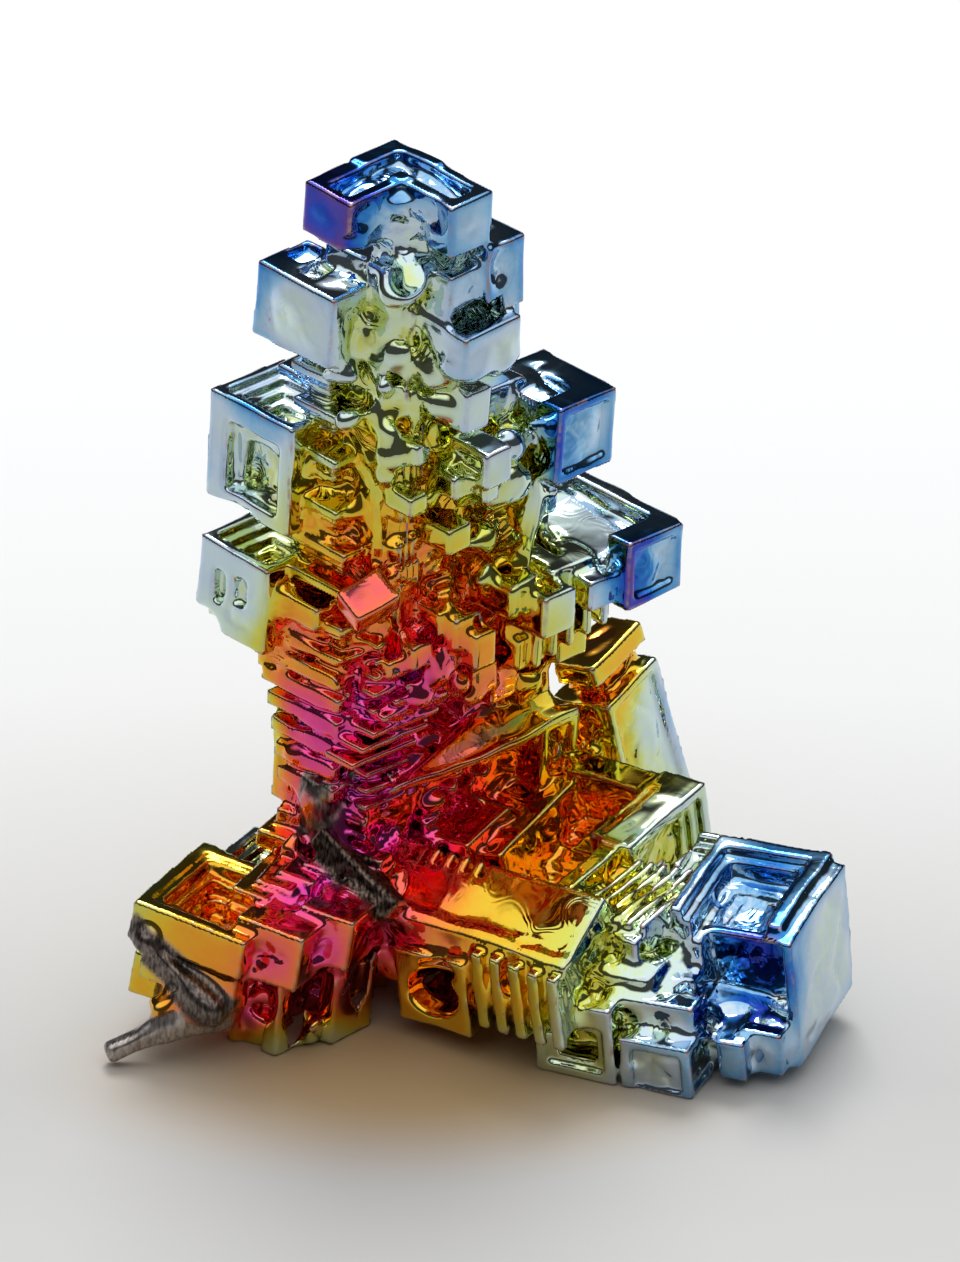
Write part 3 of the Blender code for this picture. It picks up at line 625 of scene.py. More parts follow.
def scatter(rng):
    """Small cubes that roughen the fins and arms, as (grain, box)."""
    zones = [
        ("tree", (0.8, 6.4, -0.9, -0.4, 9.6, 18.4), 12, 0.5, 1.1),
        ("tree", (-0.9, -0.4, 0.4, 3.4, 9.6, 16.4), 6, 0.4, 0.9),
        ("tree", (0.8, 5.0, -0.5, 0.2, 4.0, 6.6), 10, 0.5, 1.0),
        ("tree", (0.8, 6.0, 0.5, 0.9, 6.0, 19.0), 14, 0.6, 1.4),
        ("tree", (0.6, 0.9, 0.8, 4.2, 6.0, 19.0), 12, 0.6, 1.3),
        ("right", (3.0, 6.2, 2.4, 7.4, 2.2, 2.8), 9, 0.5, 1.1),
        ("right", (-0.6, 1.4, -1.4, 0.5, 1.6, 4.2), 7, 0.5, 1.1),
        ("left", (-2.0, 0.6, -2.4, 1.6, 4.6, 5.4), 7, 0.4, 1.0),
    ]
    found = []
    for grain, zone, count, smallest, largest in zones:
        for _ in range(count):
            box = []
            for side in range(3):
                centre = rng.uniform(zone[2 * side], zone[2 * side + 1])
                half = rng.uniform(smallest, largest) / 2
                box += [centre - half, centre + half]
            found.append((grain, tuple(box)))
    return found


def grow_crystal():
    """The distance grid of the whole crystal."""
    low, high = (np.array(corner) / MM for corner in cad_box)
    grid = Grid(low - 0.4, high + 0.4)
    rng = random.Random(SEED)
    cubes = {
        "tree": TREE_CUBES + [BLADE_CUP],
        "right": RIGHT_CUBES,
        "right_end": RIGHT_END_CUBES,
        "left": LEFT_CUBES,
        "back": BACK_CUBES,
    }
    for box in TREE_CORE + [BLADE_ROOT]:
        grid.add("tree", box, "trunk")
    for grain, box in scatter(rng):
        grid.add(grain, box, "scattered")
    for grain, members in cubes.items():
        for box, _ in members:
            grid.add(grain, box, "cube")
    grid.add("blade", BLADE, "blade")
    grid.add("tree", BLADE_EDGE, "blade's edge")
    grid.cut("taper", BLADE_TAPER)
    grid.add("plate", PLATE, "plate")
    grid.add("facet", FACET, "facet")
    for corner in TREE_SMALL:
        grid.add("tree", small_cube(*corner), "small cube")
    for grain, members in BULGES.items():
        for centre, radii in members:
            grid.add_ball(grain, centre, radii)
    lumps = rounded(rng)
    for hollow, *place in lumps:
        if not hollow:
            grid.add_ball(*place)
    for grain, box in ribs():
        grid.add(grain, box, "rib")
    for grain, members in cubes.items():
        for box, faces in members:
            for face, form in faces.items():
                for step in face_pit(box, face, form):
                    grid.cut(grain, open_out(step, face))
    free_pits = {"tree": TREE_PITS, "right_end": RIGHT_END_PITS, "left": LEFT_PITS}
    for grain, members in free_pits.items():
        for face, box, terraces in members:
            for step in pit_steps(box, face, terraces):
                grid.cut(grain, step)
    for grain, box, lean in LEANING_PITS:
        grid.cut(grain, box, lean)
    for grain, members in HOLLOWS.items():
        for centre, radii in members:
            grid.cut_ball(grain, centre, radii)
    for hollow, *place in lumps:
        if hollow:
            grid.cut_ball(*place)
    for grain, box in broken_ends():
        grid.add(grain, box, "broken")
    for box in row(*PLATE_SLOTS):
        grid.cut("right", box)
    for grain, box in CALM:
        grid.soothe(grain, box)
    weather(grid)
    floor = -grid.axes[2][None, None, :]
    grid.distance = np.maximum(grid.distance, floor)
    return grid


def weather(grid):
    """Lumps with creases between them wherever the metal is sheltered; open faces stay flat."""
    shelter = box_blur(np.clip(0.5 - grid.distance / PITCH, 0.0, 1.0), 8)
    shelter = np.clip((shelter - SHELTER_FROM) / SHELTER_SPAN, 0.0, 1.0) * (1.0 - grid.calm)
    lumps = LUMPS * np.abs(grid.noise(0.95, 31)) + 0.5 * LUMPS * np.abs(grid.noise(0.5, 32))
    grid.distance -= shelter * (lumps - 0.35 * LUMPS)


def region_map(grid):
    """Which mesh each corner of the grid belongs to, as its place in REGIONS."""
    x, y, z = (axis[tuple(slice(None) if side == place else None for side in range(3))]
               for place, axis in enumerate(grid.axes))
    region = np.full(grid.distance.shape, len(REGIONS) - 1, np.int8)
    for number in reversed(range(len(REGIONS) - 1)):
        _, axis, side, limit = REGIONS[number]
        place = (x, y, z)["xyz".index(axis)]
        chosen = place > limit if side == "above" else place < limit
        region = np.where(chosen, np.int8(number), region)
    return region


def ring_of_cells(edges, axis):
    """The four cells round each edge of the grid that runs along the axis."""
    u, v = [other for other in range(3) if other != axis]
    ring = np.repeat(edges[:, None, :], 4, axis=1)
    for corner, (du, dv) in enumerate(((0, 0), (-1, 0), (-1, -1), (0, -1))):
        ring[:, corner, u] += du
        ring[:, corner, v] += dv
    return ring


def neighbours(shape, axis):
    """Slices that pair each corner of the grid with the next one along the axis."""
    behind = [slice(1, count - 1) for count in shape]
    ahead = list(behind)
    behind[axis] = slice(1, shape[axis] - 2)
    ahead[axis] = slice(2, shape[axis] - 1)
    return tuple(behind), tuple(ahead)


def surface_points(grid, inside):
    """The grid cells that the zero surface crosses, and one vertex (mm) in each."""
    d = grid.distance
    count = np.zeros(tuple(n - 1 for n in d.shape), np.int8)
    corners = [(i, j, k) for i in (0, 1) for j in (0, 1) for k in (0, 1)]
    for i, j, k in corners:
        count += inside[i:d.shape[0] - 1 + i, j:d.shape[1] - 1 + j, k:d.shape[2] - 1 + k]
    cells = np.argwhere((count > 0) & (count < 8))
    values = np.stack([d[cells[:, 0] + i, cells[:, 1] + j, cells[:, 2] + k] for i, j, k in corners], 1)
    total = np.zeros((len(cells), 3), np.float32)
    crossings = np.zeros(len(cells), np.float32)
    for first, a in enumerate(corners):
        for second, b in enumerate(corners):
            if second <= first or sum(abs(p - q) for p, q in zip(a, b)) != 1:
                continue
            va, vb = values[:, first], values[:, second]
            crossed = (va < 0) != (vb < 0)
            share = np.where(crossed, va / np.where(crossed, va - vb, 1.0), 0.0)
            point = np.array(a, np.float32) + share[:, None] * (np.array(b) - np.array(a))
            total += np.where(crossed[:, None], point, 0.0)
            crossings += crossed
    return cells, grid.low + PITCH * (cells + total / crossings[:, None])


def skin(grid, region):
    """Vertices (mm) and, for each region, the quads of its closed mesh.

    Where two regions meet inside the metal, both meshes are closed by the same flat cap. A bubble
    that a limit in REGIONS runs through would leave a hole in that cap.
    """
    d = grid.distance
    inside = d < 0
    cells, vertices = surface_points(grid, inside)
    index = np.full([n - 1 for n in d.shape], -1, np.int32)
    index[cells[:, 0], cells[:, 1], cells[:, 2]] = np.arange(len(cells))
    quads, owners, caps = [], [], []
    for axis in range(3):
        behind, ahead = neighbours(d.shape, axis)
        edges = np.argwhere(inside[behind] != inside[ahead]) + 1
        outward = inside[edges[:, 0], edges[:, 1], edges[:, 2]]
        solid = edges.copy()
        solid[~outward, axis] += 1
        owners.append(region[solid[:, 0], solid[:, 1], solid[:, 2]])
        if axis == 1:
            outward = ~outward
        ring = ring_of_cells(edges, axis)
        ring = index[ring[..., 0], ring[..., 1], ring[..., 2]]
        ring[~outward] = ring[~outward][:, ::-1]
        quads.append(ring)
        met = inside[behind] & inside[ahead] & (region[behind] != region[ahead])
        caps.append(np.argwhere(met) + 1)
    quads, owners, kept = one_shell(len(vertices), np.concatenate(quads), np.concatenate(owners))
    index[cells[~kept, 0], cells[~kept, 1], cells[~kept, 2]] = -1
    meshes = [[quads[owners == number]] for number in range(len(REGIONS))]
    inner = []
    for axis, edges in enumerate(caps):
        ring = ring_of_cells(edges, axis)
        flat = ring.reshape(-1, 3)
        bare = np.unique(flat[index[flat[:, 0], flat[:, 1], flat[:, 2]] < 0], axis=0)
        first = len(vertices) + sum(map(len, inner))
        index[bare[:, 0], bare[:, 1], bare[:, 2]] = first + np.arange(len(bare))
        inner.append(grid.low + PITCH * (bare + 0.5))
        ring = index[ring[..., 0], ring[..., 1], ring[..., 2]]
        if axis == 1:
            ring = ring[:, ::-1]
        beyond = edges.copy()
        beyond[:, axis] += 1
        near = region[edges[:, 0], edges[:, 1], edges[:, 2]]
        far = region[beyond[:, 0], beyond[:, 1], beyond[:, 2]]
        for number in range(len(REGIONS)):
            meshes[number] += [ring[near == number], ring[far == number][:, ::-1]]
    vertices = np.concatenate([vertices] + inner)
    return vertices, [np.concatenate(parts) for parts in meshes]


def one_shell(size, quads, owners):
    """Only the largest connected shell, so that no chip floats and no bubble hides inside."""
    label = np.arange(size)
    a = quads.reshape(-1)
    b = np.roll(quads, 1, axis=1).reshape(-1)
    while True:
        low = np.minimum(label[a], label[b])
        before = label.copy()
        np.minimum.at(label, a, low)
        np.minimum.at(label, b, low)
        label = label[label]
        if (label == before).all():
            break
    names, sizes = np.unique(label, return_counts=True)
    kept = label == names[np.argmax(sizes)]
    whole = kept[quads].all(1)
    return quads[whole], owners[whole], kept


def mesh_object(name, vertices, quads):
    used, quads = np.unique(quads, return_inverse=True)
    vertices, quads = vertices[used], quads.reshape(-1, 4)
    mesh = bpy.data.meshes.new(name)
    mesh.vertices.add(len(vertices))
    mesh.vertices.foreach_set("co", (vertices * MM).astype(np.float32).ravel())
    mesh.loops.add(quads.size)
    mesh.loops.foreach_set("vertex_index", quads.astype(np.int32).ravel())
    mesh.polygons.add(len(quads))
    mesh.polygons.foreach_set("loop_start", np.arange(0, quads.size, 4, dtype=np.int32))
    mesh.update(calc_edges=True)
    mesh.validate()
    obj = bpy.data.objects.new(name, mesh)
    bpy.context.scene.collection.objects.link(obj)
    return obj


def box_blur(field, cells):
    """Mean of the field over a cube of 2 * cells + 1 grid steps."""
    for axis in range(3):
        total = np.cumsum(field, axis=axis, dtype=np.float32)
        pad = [(0, 0)] * 3
        pad[axis] = (cells + 1, cells)
        total = np.pad(total, pad, mode="edge")
        first = [slice(None)] * 3
        first[axis] = slice(0, -(2 * cells + 1))
        last = [slice(None)] * 3
        last[axis] = slice(2 * cells + 1, None)
        start = [slice(None)] * 3
        start[axis] = slice(0, cells + 1)
        total[tuple(start)] = 0.0
        field = (total[tuple(last)] - total[tuple(first)]) / (2 * cells + 1)
    return field


def sample(grid, field, points):
    """The field at points in mm, between the grid's corners."""
    place = (points - grid.low) / PITCH
    place = np.clip(place, 0.0, np.array(field.shape) - 1.001)
    base = place.astype(int)
    part = place - base
    found = np.zeros(len(points))
    for i in (0, 1):
        for j in (0, 1):
            for k in (0, 1):
                weight = np.ones(len(points))
                for axis, step in enumerate((i, j, k)):
                    weight = weight * (part[:, axis] if step else 1.0 - part[:, axis])
                found += weight * field[base[:, 0] + i, base[:, 1] + j, base[:, 2] + k]
    return found


def rise(value, low, high):
    """0 at low, 1 at high and straight between them."""
    return np.clip((value - low) / (high - low), 0.0, 1.0)


def points_of(mesh):
    co = np.zeros(len(mesh.vertices) * 3, np.float32)
    mesh.vertices.foreach_get("co", co)
    return co.reshape(-1, 3) / MM


# Thickness of the oxide film at places on the crystal, from 0, bare, to 1: (a, b, c, film).
FILM_SPOTS = {
    "tree": [
        (-2.0, 1.3, 27.0, 0.13), (-1.0, 1.3, 28.0, 0.19), (1.0, -2.0, 27.0, 0.32), (0.5, 1.0, 27.0, 0.24),
        (1.0, -1.6, 27.0, 0.26), (0.0, 0.0, 26.0, 0.3), (-0.8, -0.9, 24.8, 0.44), (-2.1, 2.2, 23.4, 0.34),
        (-1.9, 3.8, 24.2, 0.22), (2.4, -1.5, 25.0, 0.26), (1.5, -1.8, 22.8, 0.34), (0.0, 0.0, 22.0, 0.42),
        (1.9, -1.6, 20.2, 0.4), (-2.1, 4.6, 17.5, 0.35), (-1.8, 3.6, 19.3, 0.27), (-0.6, 1.5, 18.5, 0.5),
        (0.0, 0.0, 18.0, 0.5), (0.0, 0.0, 16.0, 0.56), (0.0, 0.0, 14.0, 0.66), (-2.3, 4.2, 13.0, 0.33),
        (-1.0, 4.2, 14.2, 0.42), (-0.8, 2.0, 14.0, 0.6), (6.8, -1.5, 19.4, 0.2), (5.6, -2.5, 17.9, 0.19),
        (7.3, -2.5, 18.2, 0.28), (7.6, -0.6, 18.0, 0.3), (4.0, -1.0, 17.0, 0.47), (4.0, -1.0, 14.5, 0.55),
        (8.0, -3.5, 13.2, 0.14), (9.6, -3.5, 13.6, 0.29), (9.6, -3.5, 12.6, 0.31), (9.9, -1.0, 13.2, 0.33),
        (8.3, -1.0, 14.0, 0.4), (6.5, -1.2, 13.4, 0.4), (6.0, -1.5, 11.0, 0.56), (3.0, -0.8, 12.0, 0.66),
        (1.2, -0.8, 10.5, 0.84), (0.0, 0.0, 8.0, 0.86), (0.0, 0.0, 4.0, 0.86), (-1.2, 1.5, 9.0, 0.84),
        (-1.4, 3.6, 8.5, 0.52), (-1.3, 1.6, 12.0, 0.66), (1.0, -1.3, 8.2, 0.84), (3.6, -1.3, 8.7, 0.74),
        (6.2, -1.3, 8.7, 0.6), (3.0, -0.6, 6.5, 0.8), (7.3, -1.2, 6.8, 0.56), (3.0, 0.2, 5.0, 0.76),
        (-4.9, -1.4, 0.0, 0.46), (-3.2, -2.1, 0.1, 0.46), (-4.4, -1.2, 1.8, 0.78), (-2.8, -1.9, 2.2, 0.8),
    ],
    "facet": [
        (3.7, 4.7, 13.5, 0.78),
    ],
    "right": [
        (0.5, -1.0, 3.6, 0.84), (3.0, 0.5, 4.4, 0.76), (5.5, 1.0, 4.2, 0.6), (4.2, -1.8, 2.0, 0.64),
        (7.0, -1.6, 2.5, 0.55), (4.5, 6.0, 3.0, 0.6), (6.0, 4.0, 3.0, 0.58), (7.6, 6.0, 4.0, 0.42),
        (8.8, 3.0, 3.8, 0.46), (10.0, 3.0, 3.0, 0.34),
    ],
    "right_end": [
        (8.4, -2.8, 1.5, 0.44), (11.0, -2.7, 1.0, 0.31), (12.5, 2.4, 4.2, 0.2), (13.2, 0.9, 3.2, 0.17),
        (14.9, 2.0, 3.0, 0.34), (14.9, 1.0, 1.0, 0.32), (13.8, -1.2, 1.0, 0.28),
    ],
    "left": [
        (-1.0, -3.5, 4.0, 0.84), (-3.0, -6.4, 3.0, 0.66), (-5.0, -5.5, 3.0, 0.54), (-3.5, -3.5, 3.6, 0.6),
        (-1.2, -4.9, 1.0, 0.82), (0.2, -3.1, 1.0, 0.84), (-4.4, 0.0, 3.0, 0.42), (-1.5, 1.5, 5.5, 0.78),
    ],
    "back": [
        (1.0, 6.0, 2.0, 0.55), (4.0, 9.0, 3.0, 0.55), (5.0, 11.5, 3.0, 0.34), (4.2, 10.0, 6.2, 0.64),
    ],
}


SPOT_CORE = 0.3                         # mm2, how blunt each spot's peak is

# Metal that broke after the film had grown, and how dark it is: (grain, box, 0 silver to 1 charcoal).
BARE_METAL = [
    ("stub", (-8.2, -4.0, -4.2, -3.0, 2.3, 3.5), 0.0),
    ("hook", (-5.9, -1.8, -7.4, -6.2, -1.5, -0.3), 0.8),
    ("break", (-2.6, 0.75, -4.1, -3.1, 3.8, 4.8), 1.0),
    ("break", (-1.95, -0.25, -4.0, -2.9, 2.2, 3.2), 1.0),
    ("break", (-4.9, -3.3, -2.9, -0.9, 4.4, 6.3), 0.7),
    ("tree", (-1.5, -0.7, 0.4, 1.5, 5.0, 7.3), 0.7),
]


# Share of metal close by at which a sharp rim, a broader edge and a cove begin, and are full.
RIM_METAL = (0.43, 0.33)
EDGE_METAL = (0.46, 0.26)
COVE_METAL = (0.25, 0.75)


def film_field(points):
    """The film's thickness at points in mm, from the nearest of the spots."""
    total = np.zeros(len(points))
    weights = np.zeros(len(points))
    for grain, spots in FILM_SPOTS.items():
        turn = grain_axes(grain)
        for *place, film in spots:
            spot = turn @ np.array(place) + TRUNK_FOOT
            gap = ((points - spot) ** 2).sum(1)
            weight = 1.0 / (gap + SPOT_CORE) ** 2
            total += weight * film
            weights += weight
    return total / weights


def skin_fields(grid):
    """Grids that the skin is marked from: how much metal lies close by, and the way out of it."""
    solid = np.clip(0.5 - grid.distance / PITCH, 0.0, 1.0)
    found = {name: box_blur(solid, cells) for name, cells in (("tight", 1), ("close", 3), ("wide", 9))}
    found["wide"] = found["wide"] * (1.0 - 0.6 * grid.calm)
    for axis, slope in zip("xyz", np.gradient(grid.distance)):
        found[axis] = slope
    return found


def mark_skin(obj, grid, fields):
    """Per-vertex normals, and the measures that the material reads, each from 0 to 1."""
    points = points_of(obj.data)
    tight, close, wide = (sample(grid, fields[name], points) for name in ("tight", "close", "wide"))
    rim = rise(tight, *RIM_METAL)
    edge = rise(close, *EDGE_METAL)
    cove = rise(wide, *COVE_METAL)
    film = film_field(points) + 0.12 * (cove - 0.3) - 0.04 * edge
    bare = np.zeros(len(points))
    dark = np.zeros(len(points))
    for grain, box, darkness in BARE_METAL:
        turn = grain_axes(grain)
        place = (points - TRUNK_FOOT) @ turn
        low, high = np.array(box[0::2]), np.array(box[1::2])
        out = np.maximum(np.maximum(low - place, place - high), 0.0)
        here = np.clip(1.0 - np.sqrt((out * out).sum(1)) / 0.15, 0.0, 1.0)
        bare = np.maximum(bare, here)
        dark = np.maximum(dark, here * darkness)
    film = np.clip(film, 0.06, 1.0)
    measures = {"film": film, "rim": rim, "cove": cove, "bare": bare, "dark": dark}
    for name, values in measures.items():
        attribute = obj.data.attributes.new(name, "FLOAT", "POINT")
        attribute.data.foreach_set("value", np.asarray(values, np.float32))
    slope = np.stack([sample(grid, fields[axis], points) for axis in "xyz"], 1)
    slope /= np.maximum(np.linalg.norm(slope, axis=1), 1e-6)[:, None]
    obj.data.polygons.foreach_set("use_smooth", [True] * len(obj.data.polygons))
    obj.data.normals_split_custom_set_from_vertices(slope.tolist())


def make_crystal():
    """The crystal's skin, as one closed mesh for each region."""
    grid = grow_crystal()
    vertices, meshes = skin(grid, region_map(grid))
    fields = skin_fields(grid)
    metal = oxide_metal()
    made = []
    for (name, *_), quads in zip(REGIONS, meshes):
        obj = mesh_object(name, vertices, quads)
        mark_skin(obj, grid, fields)
        obj.data.materials.append(metal)
        made.append(obj)
    return made


def srgb(red, green, blue):
    """A colour given as 0-255 on a screen, in the linear values that the shader takes."""
    found = []
    for value in (red, green, blue):
        value = value / 255.0
        found.append(value / 12.92 if value <= 0.04045 else ((value + 0.055) / 1.055) ** 2.4)
    return (*found, 1.0)


GROWTH_LINES = 46.0                     # how closely the growth lines follow each other
STREAK_STRETCH = (1.0, 0.5, 0.3)        # how the streaks on broken metal are drawn out

# The film's colour at each thickness, 0-255 on a screen.
FILM_COLOURS = [
    (0.00, (190, 166, 156)),
    (0.04, (158, 118, 112)),
    (0.08, (104, 74, 156)),
    (0.13, (40, 74, 190)),
    (0.19, (56, 136, 208)),
    (0.25, (140, 188, 224)),
    (0.31, (194, 212, 232)),
    (0.37, (204, 224, 216)),
    (0.43, (208, 222, 168)),
    (0.49, (210, 212, 96)),
    (0.56, (230, 194, 56)),
    (0.64, (236, 154, 50)),
    (0.72, (240, 116, 78)),
    (0.80, (238, 88, 122)),
    (0.88, (226, 70, 158)),
    (1.00, (150, 72, 186)),
]


class Nodes:
    """Short hand for one node tree: each call adds a node and links what it is given."""

    def __init__(self, owner):
        owner.use_nodes = True
        self.tree = owner.node_tree

    def set(self, node, socket, value):
        if isinstance(value, bpy.types.NodeSocket):
            self.tree.links.new(value, node.inputs[socket])
        else:
            node.inputs[socket].default_value = value

    def add(self, kind, inputs=(), **settings):
        """A node with its settings; its inputs are pairs of a socket and a value."""
        node = self.tree.nodes.new("ShaderNode" + kind)
        for name, value in settings.items():
            setattr(node, name, value)
        for socket, value in inputs:
            self.set(node, socket, value)
        return node

    def math(self, operation, *values, clamp=False):
        return self.add("Math", enumerate(values), operation=operation, use_clamp=clamp).outputs[0]

    def vector(self, operation, *values):
        node = self.add("VectorMath", enumerate(values), operation=operation)
        return node.outputs["Value" if operation == "LENGTH" else "Vector"]

    def attribute(self, name):
        return self.add("Attribute", attribute_name=name).outputs["Fac"]

    def place(self, kind="Object"):
        return self.add("TexCoord").outputs[kind]

    def part(self, vector, axis):
        return self.add("SeparateXYZ", [(0, vector)]).outputs[axis]

    def noise(self, place, blob, detail=2.0, distortion=0.0):
        """Noise of about 0 to 1 with blobs of that many millimetres."""
        inputs = {"Vector": place, "Scale": 1.0 / (blob * MM), "Detail": detail, "Distortion": distortion}
        return self.add("TexNoise", inputs.items()).outputs["Fac"]

    def span(self, value, low, high, to_low=0.0, to_high=1.0, kind="LINEAR"):
        inputs = {"Value": value, "From Min": low, "From Max": high, "To Min": to_low, "To Max": to_high}
        return self.add("MapRange", inputs.items(), interpolation_type=kind).outputs["Result"]

    def ramp(self, value, stops):
        node = self.add("ValToRGB", [(0, value)])
        elements = node.color_ramp.elements
        while len(elements) > 1:
            elements.remove(elements[-1])
        elements[0].position = stops[0][0]
        elements[0].color = srgb(*stops[0][1])
        for position, colour in stops[1:]:
            elements.new(position).color = srgb(*colour)
        return node.outputs["Color"]

    def mix(self, share, first, second, kind="RGBA", blend="MIX"):
        inputs = [("Factor", share), ("A", first), ("B", second)]
        return self.add("Mix", inputs, data_type=kind, blend_type=blend).outputs["Result"]

    def bump(self, height, reach, strength=1.0, under=None):
        """Relief: the height, 0 to 1, stands this many millimetres proud."""
        node = self.add("Bump", [("Height", height), ("Distance", reach * MM), ("Strength", strength)])
        if under is not None:
            self.set(node, "Normal", under)
        return node.outputs["Normal"]


def new_material(name):
    """A material, its nodes and its shader."""
    material = bpy.data.materials.new(name)
    n = Nodes(material)
    return material, n, n.tree.nodes["Principled BSDF"]


def oxide_metal():
    """Bismuth under its oxide film, whose colour follows the film's thickness."""
    material, n, shader = new_material("bismuth_oxide")
    place = n.place()
    film = n.attribute("film")
    rim = n.attribute("rim")
    cove = n.attribute("cove")
    # colour: the film's thickness wanders, in clouds and in narrow bands
    clouds = n.math("SUBTRACT", n.noise(place, 2.6, 2.0, 0.4), 0.5)
    clouds = n.math("MULTIPLY_ADD", clouds, 0.14, film)
    bands = n.math("SUBTRACT", n.noise(place, 0.7, 1.0, 2.5), 0.5)
    thickness = n.math("MULTIPLY_ADD", bands, n.span(cove, 0.2, 0.7, 0.03, 0.2), clouds)
    colour = n.ramp(thickness, FILM_COLOURS)
    wear = n.noise(place, 0.25, 3.0)
    worn = n.math("MULTIPLY", rim, n.span(wear, 0.4, 0.6, 0.2, 1.0), clamp=True)
    colour = n.mix(worn, colour, srgb(178, 150, 140))
    bare = n.attribute("bare")
    streaks = n.noise(n.vector("MULTIPLY", place, STREAK_STRETCH), 0.09, 3.0, 0.1)
    silver = n.mix(n.span(streaks, 0.35, 0.65), srgb(140, 130, 124), srgb(192, 184, 178))
    charcoal = n.mix(n.span(streaks, 0.4, 0.7), srgb(34, 26, 24), srgb(122, 104, 92))
    colour = n.mix(bare, colour, n.mix(n.attribute("dark"), silver, charcoal))
    n.set(shader, "Base Color", colour)
    n.set(shader, "Metallic", 1.0)
    smear = n.noise(place, 1.1, 3.0, 1.0)
    dull = n.span(smear, 0.45, 0.75, 0.04, 0.16)
    rough = n.math("MULTIPLY_ADD", worn, 0.3, dull, clamp=True)
    n.set(shader, "Roughness", n.math("MULTIPLY_ADD", bare, 0.25, rough, clamp=True))
    # relief: melted growth lines in the sheltered parts, faint waves on the open faces
    swirl = n.noise(place, 1.5, 0.5, 1.2)
    lines = n.math("SINE", n.math("MULTIPLY", swirl, GROWTH_LINES))
    depth = n.span(cove, 0.45, 0.8, 0.05, 1.0)
    grown = n.bump(lines, 0.008, depth)
    waves = n.bump(n.noise(place, 1.5, 1.0, 0.2), 0.05, n.span(cove, 0.4, 0.7, 0.4, 1.0), grown)
    broken = n.bump(streaks, 0.02, bare, waves)
    grit = n.bump(n.noise(place, 0.12, 2.0), 0.004, n.math("MULTIPLY_ADD", rim, 0.8, 0.1), broken)
    n.set(shader, "Normal", grit)
    return material


FLOOR_SPAN = (-0.030, 0.060)            # m, where the paper's painted shade begins and ends, front to back
# Painted shade on the floor: darker towards the front, and darkest just in front of the crystal, where its
# shadow falls.
FLOOR_PAINTED_SHADE = [
    (0.00, (206, 205, 204)),
    (0.16, (204, 203, 201)),
    (0.26, (197, 196, 194)),
    (0.37, (212, 211, 209)),
    (0.53, (231, 231, 230)),
    (0.74, (238, 238, 238)),
    (1.00, (241, 241, 241)),
]
PAINTED_WARM_SHADOW = (-0.002, -0.006, 0.0)            # m, the middle of the painted warm shadow, tinted as by the light that the gold metal throws down
PAINTED_WARM_SHADOW_SIZE = (0.013, 0.0075, 1.0)        # m, how far it reaches


PAINTED_WARM_SHADOW_FADE = (0.2, 1.0)                  # share of that reach where it starts and has ended
FLOOR_HALF = 2.0                        # m, from the middle of the floor to its edge
ROOM_TOP = 1.2                          # brightness of the tent above the crystal
ROOM_SIDE = 0.06                        # the same at its sides
ROOM_OPENING = 0.03                     # the same in the opening behind
TOP_FROM = (0.5, 0.75)                  # height of a direction where the tent's top begins, and is full
OPENING_FROM = (0.1, 0.45)              # the same, to the back, for the opening
LAMP_PLACE = (0.0, 0.32, 0.5)           # m
LAMP_TARGET = (0.0, 0.0, 0.012)         # m
LAMP_SIZE = 0.24                        # m
LAMP_POWER = 1.75                       # W
ELEVATION = math.radians(29.0)          # how far the camera looks down
CAMERA_DISTANCE = 0.9                   # m
AIM = (0.00007, 0.0047, 0.009526)       # m, what the middle of the picture shows
FRAME_HEIGHT = 1262 / 32.5 * MM         # m, what the picture's height spans, at 32.5 pixels a millimetre
SENSOR = 36.0                           # mm


def floor_paper():
    """Pale paper with painted shade, darker towards the front, and a painted warm shadow below the
    crystal.
    """
    material, n, shader = new_material("floor_paper")
    place = n.place()
    # The paper's colour, with painted shade that darkens it towards the front.
    paper = n.ramp(n.span(n.part(place, "Y"), *FLOOR_SPAN), FLOOR_PAINTED_SHADE)
    # A painted warm shadow: below the crystal the paper is multiplied by a warm brown.
    away = n.vector("DIVIDE", n.vector("SUBTRACT", place, PAINTED_WARM_SHADOW), PAINTED_WARM_SHADOW_SIZE)
    fade = n.span(n.vector("LENGTH", away), *PAINTED_WARM_SHADOW_FADE, kind="SMOOTHSTEP")
    painted_warm_shadow = n.mix(fade, srgb(234, 200, 150), (1.0, 1.0, 1.0, 1.0))
    n.set(shader, "Base Color", n.mix(1.0, paper, painted_warm_shadow, blend="MULTIPLY"))
    n.set(shader, "Roughness", 0.6)
    return material


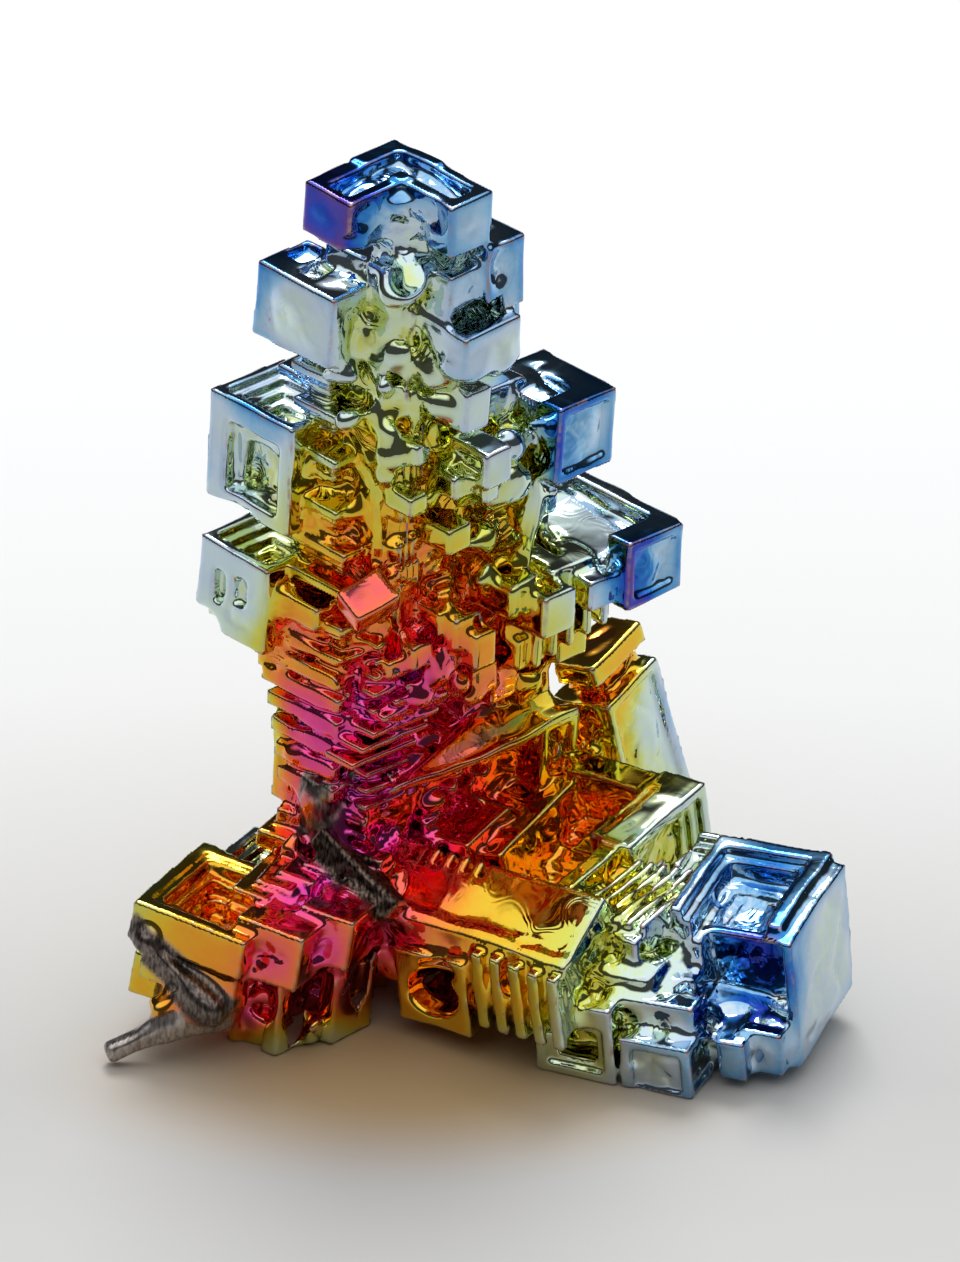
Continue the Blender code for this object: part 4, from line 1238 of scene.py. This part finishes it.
def make_floor():
    mesh = bpy.data.meshes.new("floor")
    corners = [(-1, -1), (1, -1), (1, 1), (-1, 1)]
    mesh.from_pydata([(FLOOR_HALF * x, FLOOR_HALF * y, 0.0) for x, y in corners], [], [(0, 1, 2, 3)])
    mesh.materials.append(floor_paper())
    floor = bpy.data.objects.new("floor", mesh)
    bpy.context.scene.collection.objects.link(floor)


def make_room():
    """A tent round the crystal: bright above, dim at the sides, and dimmer in an opening behind."""
    world = bpy.data.worlds.new("studio")
    bpy.context.scene.world = world
    bpy.context.scene.view_settings.view_transform = "Standard"
    n = Nodes(world)
    way = n.place("Generated")
    behind = n.span(n.part(way, "Y"), *OPENING_FROM, kind="SMOOTHSTEP")
    high = n.span(n.part(way, "Z"), *TOP_FROM, kind="SMOOTHSTEP")
    level = n.math("MULTIPLY_ADD", high, ROOM_TOP - ROOM_SIDE, ROOM_SIDE)
    dark = n.math("MULTIPLY", behind, n.math("SUBTRACT", 1.0, high))
    background = n.tree.nodes["Background"]
    n.set(background, "Strength", n.mix(dark, level, ROOM_OPENING, kind="FLOAT"))
    n.set(background, "Color", (0.97, 0.985, 1.0, 1.0))


def make_lamp():
    """A soft square lamp, high up behind the crystal and facing it."""
    lamp = bpy.data.lights.new("top", "AREA")
    lamp.size = LAMP_SIZE
    lamp.energy = LAMP_POWER
    obj = bpy.data.objects.new("top", lamp)
    obj.location = LAMP_PLACE
    obj.rotation_euler = (Vector(LAMP_TARGET) - Vector(LAMP_PLACE)).to_track_quat("-Z", "Y").to_euler()
    bpy.context.scene.collection.objects.link(obj)


def make_camera():
    lens = bpy.data.cameras.new("camera")
    camera = bpy.data.objects.new("camera", lens)
    back = Vector((0.0, -math.cos(ELEVATION), math.sin(ELEVATION)))
    camera.location = Vector(AIM) + CAMERA_DISTANCE * back
    camera.rotation_euler = (math.pi / 2 - ELEVATION, 0.0, 0.0)
    lens.sensor_width = SENSOR
    lens.lens = SENSOR * CAMERA_DISTANCE / FRAME_HEIGHT
    lens.clip_end = 10.0
    bpy.context.scene.collection.objects.link(camera)
    bpy.context.scene.camera = camera


for crystal in make_crystal():
    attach(crystal, "root")
    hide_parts("bismuth_crystal")
make_floor()
make_room()
make_lamp()
make_camera()
